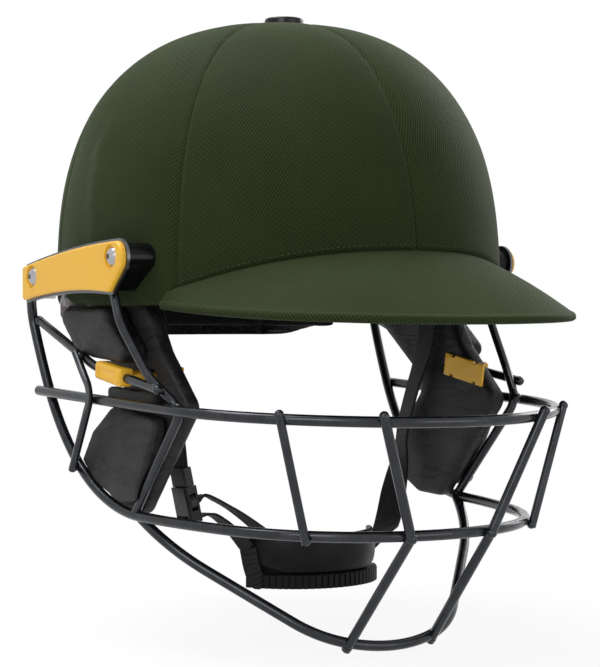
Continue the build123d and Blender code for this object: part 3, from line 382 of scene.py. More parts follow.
SOOT = (0.003, 0.003, 0.0035)
COAL = (0.012, 0.012, 0.013)
ASH = (0.013, 0.013, 0.014)
FINISH = {
    "cap_cloth": make_twill("olive_twill", (0.0045, 0.0082, 0.0018), (0.023, 0.0335, 0.0098), 1.25),
    "peak_cloth": make_twill("peak_twill", (0.0055, 0.0098, 0.0024), (0.027, 0.0385, 0.0122), 1.25),
    "lining": make_twill("black_lining", SOOT, COAL, 0.8),
    "thread": make_moulded("pale_thread", (0.034, 0.045, 0.022), (0.06, 0.074, 0.042), 0.75, 400.0,
                           specular=0.2),
    "dark_thread": make_moulded("dark_thread", (0.008, 0.008, 0.009), (0.025, 0.025, 0.026), 0.7, 400.0,
                                specular=0.2),
    "peak_board": make_moulded("peak_board", (0.01, 0.01, 0.01), (0.03, 0.03, 0.03), 0.6),
    "shell": make_moulded("maroon_shell", (0.040, 0.005, 0.010), (0.065, 0.016, 0.022), 0.26,
                          specular=0.06, coat=(0.02, 0.12)),
    "liner_foam": make_foam("liner_foam", SOOT, (0.014, 0.014, 0.016), 380.0, 0.0003),
    "comfort_foam": make_foam("brushed_cloth", SOOT, COAL, 900.0, 0.0002),
    "spacer": make_moulded("black_block", (0.002, 0.002, 0.0022), (0.008, 0.0075, 0.008), 0.2,
                           specular=0.12, coat=(0.06, 0.08)),
    "button": make_moulded("black_button", (0.004, 0.004, 0.004), (0.016, 0.016, 0.016), 0.22,
                           specular=0.2, coat=(0.1, 0.1)),
    "plate_steel": make_moulded("plate_steel", (0.10, 0.105, 0.115), (0.22, 0.23, 0.25), 0.3, 90.0,
                                metal=1.0),
    "yellow_plastic": make_moulded("yellow_plastic", (0.70, 0.375, 0.018), (0.82, 0.49, 0.06), 0.38, 45.0,
                                   0.00004, specular=0.3, coat=(0.1, 0.25)),
    "bright_steel": make_moulded("bright_steel", (0.36, 0.36, 0.37), (0.58, 0.58, 0.59), 0.22, 200.0,
                                 metal=1.0),
    "guard_wire": make_moulded("guard_wire", (0.024, 0.026, 0.030), (0.066, 0.070, 0.078), 0.22, 120.0,
                               0.00001, metal=0.75, specular=0.35, coat=(0.12, 0.15)),
    "pad_leather": make_leather("pad_leather", (0.005, 0.0047, 0.005), (0.019, 0.0175, 0.0175),
                                1500.0, 75.0, 0.00016),
    "webbing": make_webbing("black_webbing", (0.002, 0.002, 0.0025), (0.014, 0.014, 0.0155)),
    "cup_plastic": make_moulded("cup_plastic", SOOT, COAL, 0.42, 120.0, 0.00008, specular=0.14),
    "cup_rubber": make_moulded("cup_rubber", SOOT, ASH, 0.55, 120.0, 0.00006, specular=0.14),
    "buckle_black": make_moulded("buckle_black", SOOT, ASH, 0.3, 150.0, 0.00005, specular=0.17,
                                 coat=(0.05, 0.2)),
    "buckle_grey": make_moulded("buckle_grey", (0.014, 0.013, 0.012), (0.04, 0.038, 0.036), 0.45, 150.0,
                                0.00006, specular=0.3),
}


# Every rigid CAD node gets the finish of its material slot

for subpart in frame["record"]["subparts"]:
    carried = nodes[subpart["node"]].data.materials
    carried.clear()
    carried.append(FINISH[subpart["material_slot"]])


# Tools for making pieces

def alone(piece):
    """Select one piece only."""
    bpy.ops.object.select_all(action="DESELECT")
    piece.select_set(True)
    bpy.context.view_layer.objects.active = piece


def edit_whole(piece, operator, **settings):
    """Run one mesh operator on the whole of a piece."""
    alone(piece)
    bpy.ops.object.mode_set(mode="EDIT")
    bpy.ops.mesh.select_all(action="SELECT")
    operator(**settings)
    bpy.ops.object.mode_set(mode="OBJECT")


def copied(piece, name):
    """Copy of a piece with its own mesh."""
    twin = bpy.data.objects.new(name, piece.data.copy())
    bpy.context.scene.collection.objects.link(twin)
    return twin


def clamped(share):
    """A share held between 0 and 1."""
    return min(1.0, max(0.0, share))


def bell(distance, spread):
    """Falls smoothly from 1 at no distance to 0 beyond twice the spread."""
    return exp(-((distance / spread) ** 2))


def put_modifier(piece, kind, **settings):
    """Add a modifier and apply it."""
    alone(piece)
    modifier = piece.modifiers.new(kind.lower(), kind)
    for key, value in settings.items():
        setattr(modifier, key, value)
    bpy.ops.object.modifier_apply(modifier=modifier.name)


def rounded(piece, levels=1):
    """Smooth a piece by subdivision and shade it smooth."""
    if levels:
        put_modifier(piece, "SUBSURF", levels=levels, render_levels=levels)
    alone(piece)
    bpy.ops.object.shade_smooth()


def shade_by_angle(piece, angle):
    """Shade a piece smooth where its faces meet at less than an angle in degrees."""
    alone(piece)
    bpy.ops.object.shade_smooth_by_angle(angle=radians(angle))


def register(piece, body, slot, finish, *replaced):
    """Give a finished piece its body and material, and hide the nodes that it stands for; its slot is not
    used.
    """
    piece.data.materials.clear()
    piece.data.materials.append(FINISH[finish])
    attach(piece, body)
    if replaced:
        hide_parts(*replaced)


def merged_copy(node, name):
    """Copy of a CAD node's mesh with its doubles merged."""
    piece = copied(nodes[node], name)
    piece.data.materials.clear()
    edit_whole(piece, bpy.ops.mesh.remove_doubles, threshold=0.01 * MM)
    return piece


def lay_grid(name, columns, rows, place, flat_place):
    """Grid laid on a surface: place and flat_place take the column's and row's number."""
    piece = new_mesh(name, bpy.ops.mesh.primitive_grid_add, x_subdivisions=columns, y_subdivisions=rows,
                     size=1.0)
    mesh = piece.data
    steps = [(round((v.co.x + 0.5) * columns), round((v.co.y + 0.5) * rows)) for v in mesh.vertices]
    layer = mesh.uv_layers.active
    for loop in mesh.loops:
        layer.data[loop.index].uv = flat_place(*steps[loop.vertex_index])
    for vertex, step in zip(mesh.vertices, steps):
        vertex.co = place(*step)
    edit_whole(piece, bpy.ops.mesh.normals_make_consistent, inside=False)
    return piece


def run_lengths(points):
    """Distances along a run of points, from its first one."""
    lengths = [0.0]
    for a, b in zip(points, points[1:]):
        lengths.append(lengths[-1] + (b - a).length)
    return lengths


def thicken_sheet(piece, middle, thickness):
    """Face a sheet away from a point, smooth it and thicken it inwards; returns its area."""
    if sum((p.center - middle).dot(p.normal) * p.area for p in piece.data.polygons) < 0:
        piece.data.flip_normals()
    rounded(piece)
    area = sum(p.area for p in piece.data.polygons)
    put_modifier(piece, "SOLIDIFY", thickness=thickness, offset=-1.0)
    return round(area, 5)


def join_pieces(name, pieces):
    """Join copies into one piece."""
    alone(pieces[0])
    for piece in pieces:
        piece.select_set(True)
    bpy.ops.object.join()
    pieces[0].name = name
    return pieces[0]


# Measures of the peak, in millimetres, and its middle line

PEAK_CENTRE = -20.0
PEAK_HALF_WIDTH = 99.6
PEAK_REACH = 144.0
PEAK_PLAN = 2.9
PEAK_ROOT = (92.0, 88.0)
PEAK_SWEEP = 73.0
PEAK_HALF = 2.2
PEAK_CAMBER = 1.8
ROOT_HEIGHT = 26.0
EDGE_HEIGHT, EDGE_DROP = 3.0, 9.5


def oval(angle, half_width, reach, power):
    """Distance from the peak's centre to an oval outline at one angle."""
    total = abs(sin(angle) / half_width) ** power + abs(cos(angle) / reach) ** power
    return total ** (-1.0 / power)


def peak_point(angle, out, height):
    """Point of a peak section at one angle, in metres."""
    return Vector((out * sin(angle), PEAK_CENTRE - out * cos(angle), height)) * MM


def peak_section(angle):
    """Root and edge of the peak's middle line at one angle: distance and height of each."""
    root = oval(angle, *PEAK_ROOT, 2.0)
    edge = oval(angle, PEAK_HALF_WIDTH, PEAK_REACH, PEAK_PLAN) - PEAK_HALF
    return root, ROOT_HEIGHT * cos(angle), edge, EDGE_HEIGHT - EDGE_DROP * cos(angle)


def peak_height(root_z, edge_z, share):
    """Height of the cambered middle line at a share of the way from root to edge."""
    return root_z + (edge_z - root_z) * share + PEAK_CAMBER * 4 * share * (1 - share)


# The plain dome, the shell's rim, and the shell and liner with their rear corners eased

EQUATOR = 9.0
CROWN_RISE = 130.8
HALF_WIDTH = 102.8
FRONT_REACH = 114.2
REAR_REACH = 130.8
SIDE_BOW = 2.6
FRONT_BOW = 2.22
REAR_BOW = 2.5
REAR_PLAN = 2.3
RIM_FRONT, RIM_FRONT_START, RIM_FRONT_RUN = 12.0, 46.0, 34.0
RIM_REAR, RIM_REAR_START, RIM_REAR_RUN = -14.0, 58.0, 38.0
RIM_BLUR = (-4.0, -2.0, 0.0, 2.0, 4.0)
BARE_START, BARE_RUN = 25.0, 35.0
EASE_FROM = 15.0
EASE_CORE = 40.0
EASE_TOP, EASE_FADE = 100.0, 25.0
EASE_ABOVE_RIM = 3.0


def bow(share, power):
    """How much of its reach the dome keeps at a share of its rise."""
    return max(0.0, 1.0 - abs(share) ** power) ** (1.0 / power)


def dome_radius(azimuth, share, skin):
    """Distance from the upright axis to the dome in one direction, in millimetres."""
    side = (HALF_WIDTH + skin) * bow(share, SIDE_BOW)
    if sin(azimuth) < 0:
        front = (FRONT_REACH + skin) * bow(share, FRONT_BOW)
        return hypot(cos(azimuth) / side, sin(azimuth) / front) ** -1
    rear = (REAR_REACH + skin) * bow(share, REAR_BOW)
    total = abs(cos(azimuth) / side) ** REAR_PLAN + abs(sin(azimuth) / rear) ** REAR_PLAN
    return total ** (-1.0 / REAR_PLAN)


def grown_point(azimuth, share, skin):
    """Point of the plain dome grown by skin, in metres."""
    radius = dome_radius(azimuth, share, skin) * MM
    height = EQUATOR + share * (CROWN_RISE + skin)
    return Vector((radius * cos(azimuth), radius * sin(azimuth), height * MM))


def search_tree(piece):
    """Search tree over a piece's faces."""
    mesh = piece.data
    return BVHTree.FromPolygons([v.co for v in mesh.vertices], [p.vertices for p in mesh.polygons])


def rim_height(y, bare):
    """Height of the shell's rim in the side view, raised by a bare edge behind."""
    total = 0.0
    for step in RIM_BLUR:
        total += RIM_FRONT * clamped((-RIM_FRONT_START - y - step) / RIM_FRONT_RUN)
        total += RIM_REAR * clamped((y + step - RIM_REAR_START) / RIM_REAR_RUN)
    share = clamped((y - BARE_START) / BARE_RUN)
    return total / len(RIM_BLUR) + bare * share * share * (3 - 2 * share)


def ease_corners(piece):
    """Draw in the stiff rear corners of a piece, so that the shell's outer face is the plain dome."""
    for vertex in piece.data.vertices:
        x, y, z = (value / MM for value in vertex.co)
        reach = hypot(x, y)
        if y < EASE_FROM or z > EASE_TOP or reach < EASE_CORE:
            continue
        azimuth = atan2(y, x)
        level = max(z, rim_height(y, 0.0) + EASE_ABOVE_RIM)
        inward = Vector((-cos(azimuth), -sin(azimuth), 0.0))
        hit = full_shell.ray_cast(Vector((0.0, 0.0, level * MM)) - inward * 0.2, inward)[0]
        if hit is None:
            continue
        bulge = hypot(hit.x, hit.y) / MM - dome_radius(azimuth, (level - EQUATOR) / CROWN_RISE, 0.0)
        fade = min(1.0, (EASE_TOP - z) / EASE_FADE)
        vertex.co += inward * (max(0.0, bulge) * fade * MM)


full_shell = search_tree(nodes["outer_shell"])


def make_shell_and_liner():
    """Shell and foam liner with their rear corners eased."""
    for node, name, slot in [("outer_shell", "shell_dome", "shell"),
                             ("impact_liner", "foam_dome", "liner_foam")]:
        piece = merged_copy(node, name)
        ease_corners(piece)
        shade_by_angle(piece, 40.0)
        register(piece, "helmet", slot, slot, node)


make_shell_and_liner()
shell_tree = search_tree(bpy.data.objects["shell_dome"])


# Cloth cap: six panels on the shell, with sunk seams and a turned-in lower edge

PANELS = ["left_front_panel", "left_side_panel", "left_rear_panel",
          "right_rear_panel", "right_side_panel", "right_front_panel"]
PANEL_COLUMNS = 34
PANEL_ROWS = 62
SECTOR = pi / 3
TOP_SHARE = 0.9995
LAST_TURN = radians(88.7)
SEAM_STEPS = [0.12, 0.5, 1.0, 1.6, 2.4, 3.6, 5.2]
SEAM_COLUMN = 9.0
HEM_STEPS = [0.0, 0.35, 0.9, 1.7, 2.8, 4.2]
HEM_GAP = 0.1
BARE_EDGE = 7.0
CLOTH = 0.6
FAR_OFF = 8.0
STAND_OFF = 1.45
SEAM_SINK, SEAM_SPREAD, SEAM_NARROW = 0.72, 1.5, 8.0
HEM_ROLL, HEM_SPREAD = 0.95, 0.75
PUFF, PUFF_SPREAD, PUFF_START, PUFF_RUN, PUFF_NARROW = 0.7, 9.0, 34.0, 40.0, 60.0
PUCKER, PUCKER_PLACE, PUCKER_SPREAD = 0.13, 2.6, 2.2
RIPPLE = 0.16
CALM_HEM = 5.0
PRESS, PRESS_NARROW = 0.55, 22.0


def dome_point(azimuth, share, skin):
    """Point that stands off the shell's outer face by skin, in metres."""
    far = grown_point(azimuth, share, FAR_OFF)
    foot = shell_tree.find_nearest(far)[0]
    return foot + (far - foot).normalized() * (skin * MM)


def edge_height(azimuth):
    """Height of the cap's lower edge in one direction: on the peak in front, elsewhere at the rim."""
    key = round(azimuth, 6)
    if key in edge_heights:
        return edge_heights[key]
    level = 28.0
    for _ in range(10):
        radius = dome_radius(azimuth, (level - EQUATOR) / CROWN_RISE, 1.3)
        x, y = radius * cos(azimuth), radius * sin(azimuth)
        angle = atan2(x, PEAK_CENTRE - y)
        if abs(angle) > radians(PEAK_SWEEP):
            level = rim_height(y, BARE_EDGE)
            continue
        root, root_z, edge, edge_z = peak_section(angle)
        share = (hypot(x, y - PEAK_CENTRE) - root) / (edge - root)
        level = peak_height(root_z, edge_z, share) + PEAK_HALF
    edge_heights[key] = level
    return level


edge_heights = {}


def seam_offsets(radius):
    """Angles of a panel's columns from its first seam to its last."""
    offsets = [min(step / radius, SECTOR / 2 * (k + 0.3) / SEAM_COLUMN) for k, step in enumerate(SEAM_STEPS)]
    middle_columns = PANEL_COLUMNS - 2 * (len(SEAM_STEPS) - 1)
    first, last = offsets[-1], SECTOR - offsets[-1]
    middle = [first + (last - first) * k / middle_columns for k in range(1, middle_columns)]
    return offsets + middle + [SECTOR - value for value in reversed(offsets)]


def panel_row(azimuth, row):
    """Share of the dome's rise at one row of a panel, and the distance above the lower edge."""
    low = edge_height(azimuth) + HEM_GAP
    if row < len(HEM_STEPS):
        above = HEM_STEPS[row]
        return (low + above - EQUATOR) / CROWN_RISE, above
    start = (low + HEM_STEPS[-1] - EQUATOR) / CROWN_RISE
    turn = copysign(asin(min(1.0, abs(start) ** (SIDE_BOW / 2))), start)
    turn += (LAST_TURN - turn) * (row - len(HEM_STEPS) + 1) / (PANEL_ROWS - len(HEM_STEPS) + 1)
    share = copysign(abs(sin(turn)) ** (2 / SIDE_BOW), turn)
    return min(share, TOP_SHARE), (share - start) * CROWN_RISE + HEM_STEPS[-1]


def panel_skin(azimuth, share, seam, above, width):
    """How far the cloth stands off the shell: sunk at the seams, rolled at the lower edge."""
    height = EQUATOR + share * CROWN_RISE
    sunk = SEAM_SINK * bell(seam, SEAM_SPREAD) * min(1.0, width / SEAM_NARROW)
    rolled = HEM_ROLL * bell(above, HEM_SPREAD)
    lift = clamped((height - PUFF_START) / PUFF_RUN)
    puff = PUFF * lift * min(1.0, width / PUFF_NARROW) * (1 - bell(seam, PUFF_SPREAD))
    along = height + 40 * sin(azimuth * 3)
    pucker = PUCKER * sin(along * 1.25 + 2.1 * sin(along * 0.31)) * bell(seam - PUCKER_PLACE, PUCKER_SPREAD)
    ripple = RIPPLE * noise.noise(Vector((azimuth * 2.2, share * 3.1, 0.4)))
    pressed = PRESS * (1 - min(1.0, width / PRESS_NARROW))
    uneven = (pucker + ripple) * min(1.0, above / CALM_HEM)
    return STAND_OFF - sunk - pressed - rolled + puff + uneven


def make_panel(number, name):
    """One panel of the cap."""
    start = -pi / 2 + number * SECTOR
    spots = {}

    def spot(column, row):
        """Place on the shell, and the distance along the row from the panel's middle."""
        if (column, row) not in spots:
            azimuth = start + SECTOR * column / PANEL_COLUMNS
            radius = dome_radius(azimuth, panel_row(azimuth, row)[0], 0.0)
            offset = seam_offsets(radius)[column]
            azimuth = start + offset
            share, above = panel_row(azimuth, row)
            radius = dome_radius(azimuth, share, 0.0)
            seam = min(offset, SECTOR - offset) * radius
            skin = panel_skin(azimuth, share, seam, above, radius * SECTOR)
            spots[(column, row)] = (dome_point(azimuth, share, skin), (offset - SECTOR / 2) * radius)
        return spots[(column, row)]

    def place(column, row):
        return spot(column, row)[0]

    middle = PANEL_COLUMNS // 2
    lengths = run_lengths([place(middle, row) for row in range(PANEL_ROWS + 1)])

    def flat_place(column, row):
        drop = (place(column, 0).z - place(middle, 0).z) * (1 - row / PANEL_ROWS)
        return (spot(column, row)[1] * MM, lengths[row] + drop)

    piece = lay_grid("cap_" + name, PANEL_COLUMNS, PANEL_ROWS, place, flat_place)
    area = thicken_sheet(piece, Vector((0.0, 0.0, EQUATOR * MM)), CLOTH * MM)
    register(piece, "helmet", "cap_cloth", "cap_cloth", name)


for panel_number, panel_name in enumerate(PANELS):
    make_panel(panel_number, panel_name)


# Peak: green cover above, black lining below

PEAK_COLUMNS = 96
PEAK_MIDDLE = Vector((0.0, -0.09, 0.012))
PEAK_MAP_REACH = 118.0
PEAK_CLOTH, LINING_CLOTH = 0.8, 0.5
TOP_ROWS = 22
NOSE_TURNS = (68, 46, 26, 8, -10, -28, -46, -68)
FOLD_SHARES = (0.995, 0.97, 0.94, 0.91)
LINING_ROWS = 18
LINING_REACH = 0.955
LINING_LIFT, LINING_TUCK = 0.25, 0.3


def peak_line(angle, share, offset):
    """Point above or below the middle line, at a share of the way from root to edge."""
    root, root_z, edge, edge_z = peak_section(angle)
    return peak_point(angle, root + (edge - root) * share, peak_height(root_z, edge_z, share) + offset)


def peak_nose(angle, turn, radius):
    """Point round the peak's rounded edge."""
    edge, edge_z = peak_section(angle)[2:]
    return peak_point(angle, edge + radius * cos(turn), edge_z + radius * sin(turn))


def make_peak_sheet(name, lines, finish, thickness):
    """Sheet over the peak. Each line is the function that places a row and what it takes after the angle."""
    rows = len(lines) - 1

    def angle_at(column):
        return radians(PEAK_SWEEP) * (2 * column / PEAK_COLUMNS - 1)

    def place(column, row):
        line, *values = lines[row]
        return line(angle_at(column), *values)

    lengths = run_lengths([place(PEAK_COLUMNS // 2, row) for row in range(rows + 1)])

    def flat_place(column, row):
        return (angle_at(column) * PEAK_MAP_REACH * MM, lengths[row])

    piece = lay_grid(name, PEAK_COLUMNS, rows, place, flat_place)
    area = thicken_sheet(piece, PEAK_MIDDLE, thickness * MM)
    register(piece, "helmet", "peak_cloth", finish, "peak_cover")


def make_peak():
    """Cover from the cap round the edge to a narrow fold below, and the lining up to the fold."""
    cover = [(peak_line, k / TOP_ROWS, PEAK_HALF) for k in range(TOP_ROWS + 1)]
    cover += [(peak_nose, radians(turn), PEAK_HALF) for turn in NOSE_TURNS]
    cover += [(peak_line, share, -PEAK_HALF) for share in FOLD_SHARES]
    make_peak_sheet("peak_cloth_cover", cover, "peak_cloth", PEAK_CLOTH)
    lifts = [LINING_LIFT - LINING_TUCK * (k > LINING_ROWS - 2) for k in range(LINING_ROWS + 1)]
    lining = [(peak_line, k / LINING_ROWS * LINING_REACH, lift - PEAK_HALF) for k, lift in enumerate(lifts)]
    make_peak_sheet("peak_lining", lining, "lining", LINING_CLOTH)


make_peak()


# Stitches

STITCH = 1.5
JOIN_SWEEP = 58.0
JOIN_ABOVE, JOIN_SKIN, JOIN_PITCH, JOIN_THREAD = 2.2, 1.52, 2.5, 0.24
SEAM_MARGIN = 0.6
EDGE_SWEEP, EDGE_TURN = 70.0, radians(-24.0)
EDGE_LIFT, EDGE_PITCH, EDGE_THREAD = 0.05, 2.3, 0.18


def stitch_row(name, spots, radius, finish, slot):
    """Row of short rounded stitches: each spot is a place and a place just ahead of it."""
    pattern = new_mesh("pattern", bpy.ops.mesh.primitive_uv_sphere_add, segments=6, ring_count=4, radius=1.0)
    copies = []
    for place, ahead in spots:
        turn = (ahead - place).normalized().to_track_quat("X", "Z").to_matrix().to_4x4()
        thread = Matrix.Diagonal((STITCH * MM / 2, radius * MM, radius * MM, 1.0))
        stitch = copied(pattern, name)
        stitch.data.transform(Matrix.Translation(place) @ turn @ thread)
        copies.append(stitch)
    bpy.data.objects.remove(pattern)
    row = join_pieces(name, copies)
    rounded(row, 0)
    register(row, "helmet", slot, finish)


def make_join_stitches():
    """Stitches of the cap just above the peak, left out where they meet a seam."""
    def spot(azimuth):
        share = (edge_height(azimuth) + JOIN_ABOVE - EQUATOR) / CROWN_RISE
        return dome_point(azimuth, share, JOIN_SKIN), dome_radius(azimuth, share, 0.0)

    spots = []
    angle = -90.0 - JOIN_SWEEP
    while angle < -90.0 + JOIN_SWEEP:
        place, radius = spot(radians(angle))
        if abs((angle + 120.0) % 60.0 - 30.0) > SEAM_MARGIN:
            spots.append((place, spot(radians(angle + 0.8))[0]))
        angle += degrees(JOIN_PITCH / radius)
    stitch_row("join_stitches", spots, JOIN_THREAD, "thread", "cap_cloth")


def make_edge_stitches():
    """Fine stitch line along the peak's edge, near its lower side."""
    def spot(turn):
        return peak_nose(turn, EDGE_TURN, PEAK_HALF + EDGE_LIFT)

    spots = []
    angle = -EDGE_SWEEP
    while angle < EDGE_SWEEP:
        turn = radians(angle)
        spots.append((spot(turn), spot(turn + 0.01)))
        angle += degrees(EDGE_PITCH / oval(turn, PEAK_HALF_WIDTH, PEAK_REACH, PEAK_PLAN))
    stitch_row("peak_edge_stitches", spots, EDGE_THREAD, "dark_thread", "peak_cloth")


make_join_stitches()
make_edge_stitches()


# Padded pieces. Each row: voxel, draw-in, cap of the swelling, depth of the creases, their scale, fill

LEATHER_PADS = {
    "cheek_pad": (1.25, 0.45, 0.45, 0.07, 150.0, 0.85),
    "upper_outer_pad": (1.05, 0.45, 0.45, 0.14, 150.0, 0.85),
    "middle_outer_pad": (0.9, 0.3, 0.3, 0.08, 150.0, 0.85),
    "lower_outer_pad": (1.05, 0.45, 0.45, 0.08, 150.0, 0.85),
}
TEMPLE_PAD = (1.6, 0.6, 0.6, 0.1, 90.0, 0.85)
COMFORT_PAD = (1.8, 0.6, 0.6, 0.15, 90.0, 0.7)
CLOTH_SETTINGS = {"quality": 4, "mass": 0.15, "tension_stiffness": 12, "compression_stiffness": 12,
                  "bending_stiffness": 0.3, "use_pressure": True, "uniform_pressure_force": 3.0}
CLOTH_FRAMES = 14
CREASE_SPREAD = 0.06


def swell(piece, cap):
    """Let cloth with pressure swell a closed mesh, no point further than the cap."""
    scene = bpy.context.scene
    alone(piece)
    cloth = piece.modifiers.new("swelling", "CLOTH")
    for key, value in CLOTH_SETTINGS.items():
        setattr(cloth.settings, key, value)
    cloth.settings.effector_weights.gravity = 0
    for step in range(CLOTH_FRAMES):
        scene.frame_set(step + 1)
    shape = piece.evaluated_get(bpy.context.evaluated_depsgraph_get())
    swollen = [vertex.co.copy() for vertex in shape.data.vertices]
    piece.modifiers.remove(cloth)
    for vertex, moved in zip(piece.data.vertices, swollen):
        shift = moved - vertex.co
        if shift.length > cap:
            shift = shift * (cap / shift.length)
        vertex.co += shift
    scene.frame_set(1)


def crease(piece, depth, scale):
    """Sink long soft creases into a cushion, running fore and aft."""
    shifts = []
    for vertex in piece.data.vertices:
        spot = Vector((vertex.co.x * scale, vertex.co.y * scale * 0.28, vertex.co.z * scale))
        spot += noise.noise_vector(spot * 0.7) * 0.5
        shifts.append(vertex.normal * (-depth * bell(noise.noise(spot), CREASE_SPREAD)))
    for vertex, shift in zip(piece.data.vertices, shifts):
        vertex.co += shift


def cushion(node, measures):
    """Cushion grown from a CAD solid: remeshed, drawn in, swollen and creased."""
    voxel, draw_in, cap, depth, scale = measures[:5]
    piece = merged_copy(node, node + "_cushion")
    put_modifier(piece, "REMESH", mode="VOXEL", voxel_size=voxel * MM)
    put_modifier(piece, "SMOOTH", factor=0.5, iterations=2)
    for vertex, normal in [(v, v.normal.copy()) for v in piece.data.vertices]:
        vertex.co -= normal * (draw_in * MM)
    swell(piece, cap * MM)
    put_modifier(piece, "SMOOTH", factor=0.5, iterations=1)
    rounded(piece)
    crease(piece, depth * MM, scale)
    return piece


def declare_pad(piece, finish, node):
    """Register a cushion."""
    register(piece, "helmet", finish, finish, node)


def mirrored(piece, name):
    """Right-hand twin of a left-hand piece, with its own mesh."""
    twin = copied(piece, name)
    twin.data.transform(Matrix.Diagonal((-1.0, 1.0, 1.0, 1.0)))
    twin.data.flip_normals()
    return twin


def make_cushions():
    """Cheek and temple pads of both sides, and the other comfort pads inside the shell."""
    for pad, measures in {**LEATHER_PADS, "temple_pad": TEMPLE_PAD}.items():
        finish = "pad_leather" if pad in LEATHER_PADS else "comfort_foam"
        left = cushion("left_" + pad, measures)
        right = mirrored(left, "right_" + pad + "_cushion")
        declare_pad(left, finish, "left_" + pad)
        declare_pad(right, finish, "right_" + pad)
    for pad in ("brow_pad", "rear_pad", "crown_pad"):
        piece = cushion(pad, COMFORT_PAD)
        ease_corners(piece)
        declare_pad(piece, "comfort_foam", pad)


make_cushions()


# Chin strap

PIVOT = Vector((0.0, -14.0, 13.0))
STRAP_SIDE = 80.5
STRAP_DROP = 133.0
STRAP_THICKNESS = 1.2
STRAP_BEVEL = 0.35
STRAP_STEP = 1.1
STRAP_COLUMNS = 10
STRAP_WIDTH, UPPER_WEB, LOWER_WEB, TAIL_WIDTH = 14.0, 6.0, 7.0, 8.0
RIB_HEIGHT, RIB_EVERY = 0.5, 3
LINE_STEPS = 24
BUCKLE_ORIGIN = Vector((-69.5, -20.0, -86.8))
BUCKLE_DOWN = Vector((0.185, -0.062, -1.0)).normalized()
BUCKLE_ACROSS = Vector((0.0, -1.0, 0.0))
BUCKLE_ACROSS = (BUCKLE_ACROSS - BUCKLE_DOWN * BUCKLE_ACROSS.dot(BUCKLE_DOWN)).normalized()
BUCKLE_THROUGH = BUCKLE_DOWN.cross(BUCKLE_ACROSS)


def buckle_place(across, through, along):
    """A place in the buckle's frame, in millimetres."""
    return BUCKLE_ORIGIN + BUCKLE_ACROSS * across + BUCKLE_THROUGH * through + BUCKLE_DOWN * along


def strap_places(shares, side):
    """Places of a strap in shares of its side distance and drop, in millimetres."""
    return [Vector((side * x * STRAP_SIDE, PIVOT.y + y * STRAP_DROP, PIVOT.z + z * STRAP_DROP))
            for x, y, z in shares]


def smooth_line(places, count):
    """Even points on a smooth line through places."""
    fine = []
    for number in range(len(places) - 1):
        before = places[max(number - 1, 0)]
        start, end = places[number], places[number + 1]
        after = places[min(number + 2, len(places) - 1)]
        for step in range(LINE_STEPS):
            t = step / LINE_STEPS
            fine.append(0.5 * (2 * start + (end - before) * t
                               + (2 * before - 5 * start + 4 * end - after) * t * t
                               + (3 * start - before - 3 * end + after) * t ** 3))
    fine.append(places[-1])
    lengths = run_lengths(fine)
    line, spot = [], 0
    for k in range(count + 1):
        goal = lengths[-1] * k / count
        while spot < len(fine) - 2 and lengths[spot + 1] < goal:
            spot += 1
        gap = lengths[spot + 1] - lengths[spot]
        share = (goal - lengths[spot]) / gap if gap else 0.0
        line.append(fine[spot].lerp(fine[spot + 1], min(share, 1.0)))
    return line, lengths[-1]


def ribbon(name, body, node, places, width, wides, round_start=False, round_end=False, ribs=False):
    """Flat woven strap along places in millimetres; wides gives its width's direction by share."""
    count = max(24, int(run_lengths(places)[-1] / STRAP_STEP))
    line, length = smooth_line(places, count)
    half = width / 2

    def wide_hint(share):
        for (low, first), (high, second) in zip(wides, wides[1:]):
            if share <= high:
                return Vector(first).lerp(Vector(second), (share - low) / (high - low))
        return Vector(wides[-1][1])

    def half_at(row):
        gone = length * row / count
        near = min(half, gone if round_start else half, length - gone if round_end else half)
        return half * sqrt(max(0.02, 1 - (1 - near / half) ** 2))

    def across_at(column, row):
        return (2 * column / STRAP_COLUMNS - 1) * half_at(row)

    def place_at(column, row):
        ahead = (line[min(row + 1, count)] - line[max(row - 1, 0)]).normalized()
        hint = wide_hint(row / count)
        wide = (hint - ahead * hint.dot(ahead)).normalized()
        raised = RIB_HEIGHT * (ribs and row % RIB_EVERY == 0)
        return (line[row] + ahead.cross(wide).normalized() * raised + wide * across_at(column, row)) * MM

    def flat_at(column, row):
        return (across_at(column, row) * MM, length * row / count * MM)

    piece = lay_grid(name, STRAP_COLUMNS, count, place_at, flat_at)
    put_modifier(piece, "SOLIDIFY", thickness=STRAP_THICKNESS * MM, offset=0.0)
    put_modifier(piece, "BEVEL", width=STRAP_BEVEL * MM, segments=2, limit_method="ANGLE",
                 angle_limit=radians(50.0))
    rounded(piece, 0)
    register(piece, body, "webbing", "webbing", node)


FORE_AFT = (0.0, 1.0, 0.0)
LEFT_STRAP = [(0.982, 0.010, -0.250), (0.971, 0.083, -0.421), (0.955, 0.132, -0.571),
              (0.920, 0.128, -0.700), (0.850, 0.105, -0.812), (0.690, 0.015, -0.935),
              (0.500, -0.095, -1.0)]
RIGHT_STRAP = [(0.982, -0.008, -0.220), (0.949, -0.019, -0.361), (0.908, -0.032, -0.522)]
UPPER_CUP = [(0.716, -0.022, -0.790), (0.655, -0.065, -0.806), (0.547, -0.120, -0.857),
             (0.426, -0.172, -0.925)]
LOWER_CUP = [(0.660, -0.030, -0.860), (0.570, -0.085, -0.915), (0.480, -0.110, -0.985)]
TAIL = [(0.462, -0.122, -1.060), (0.424, -0.140, -1.128)]


def strap_top(side):
    """Flat end of a strap round its rivet."""
    return [Vector((side * STRAP_SIDE, PIVOT.y, PIVOT.z + up)) for up in (7.0, -3.0, -15.0)]


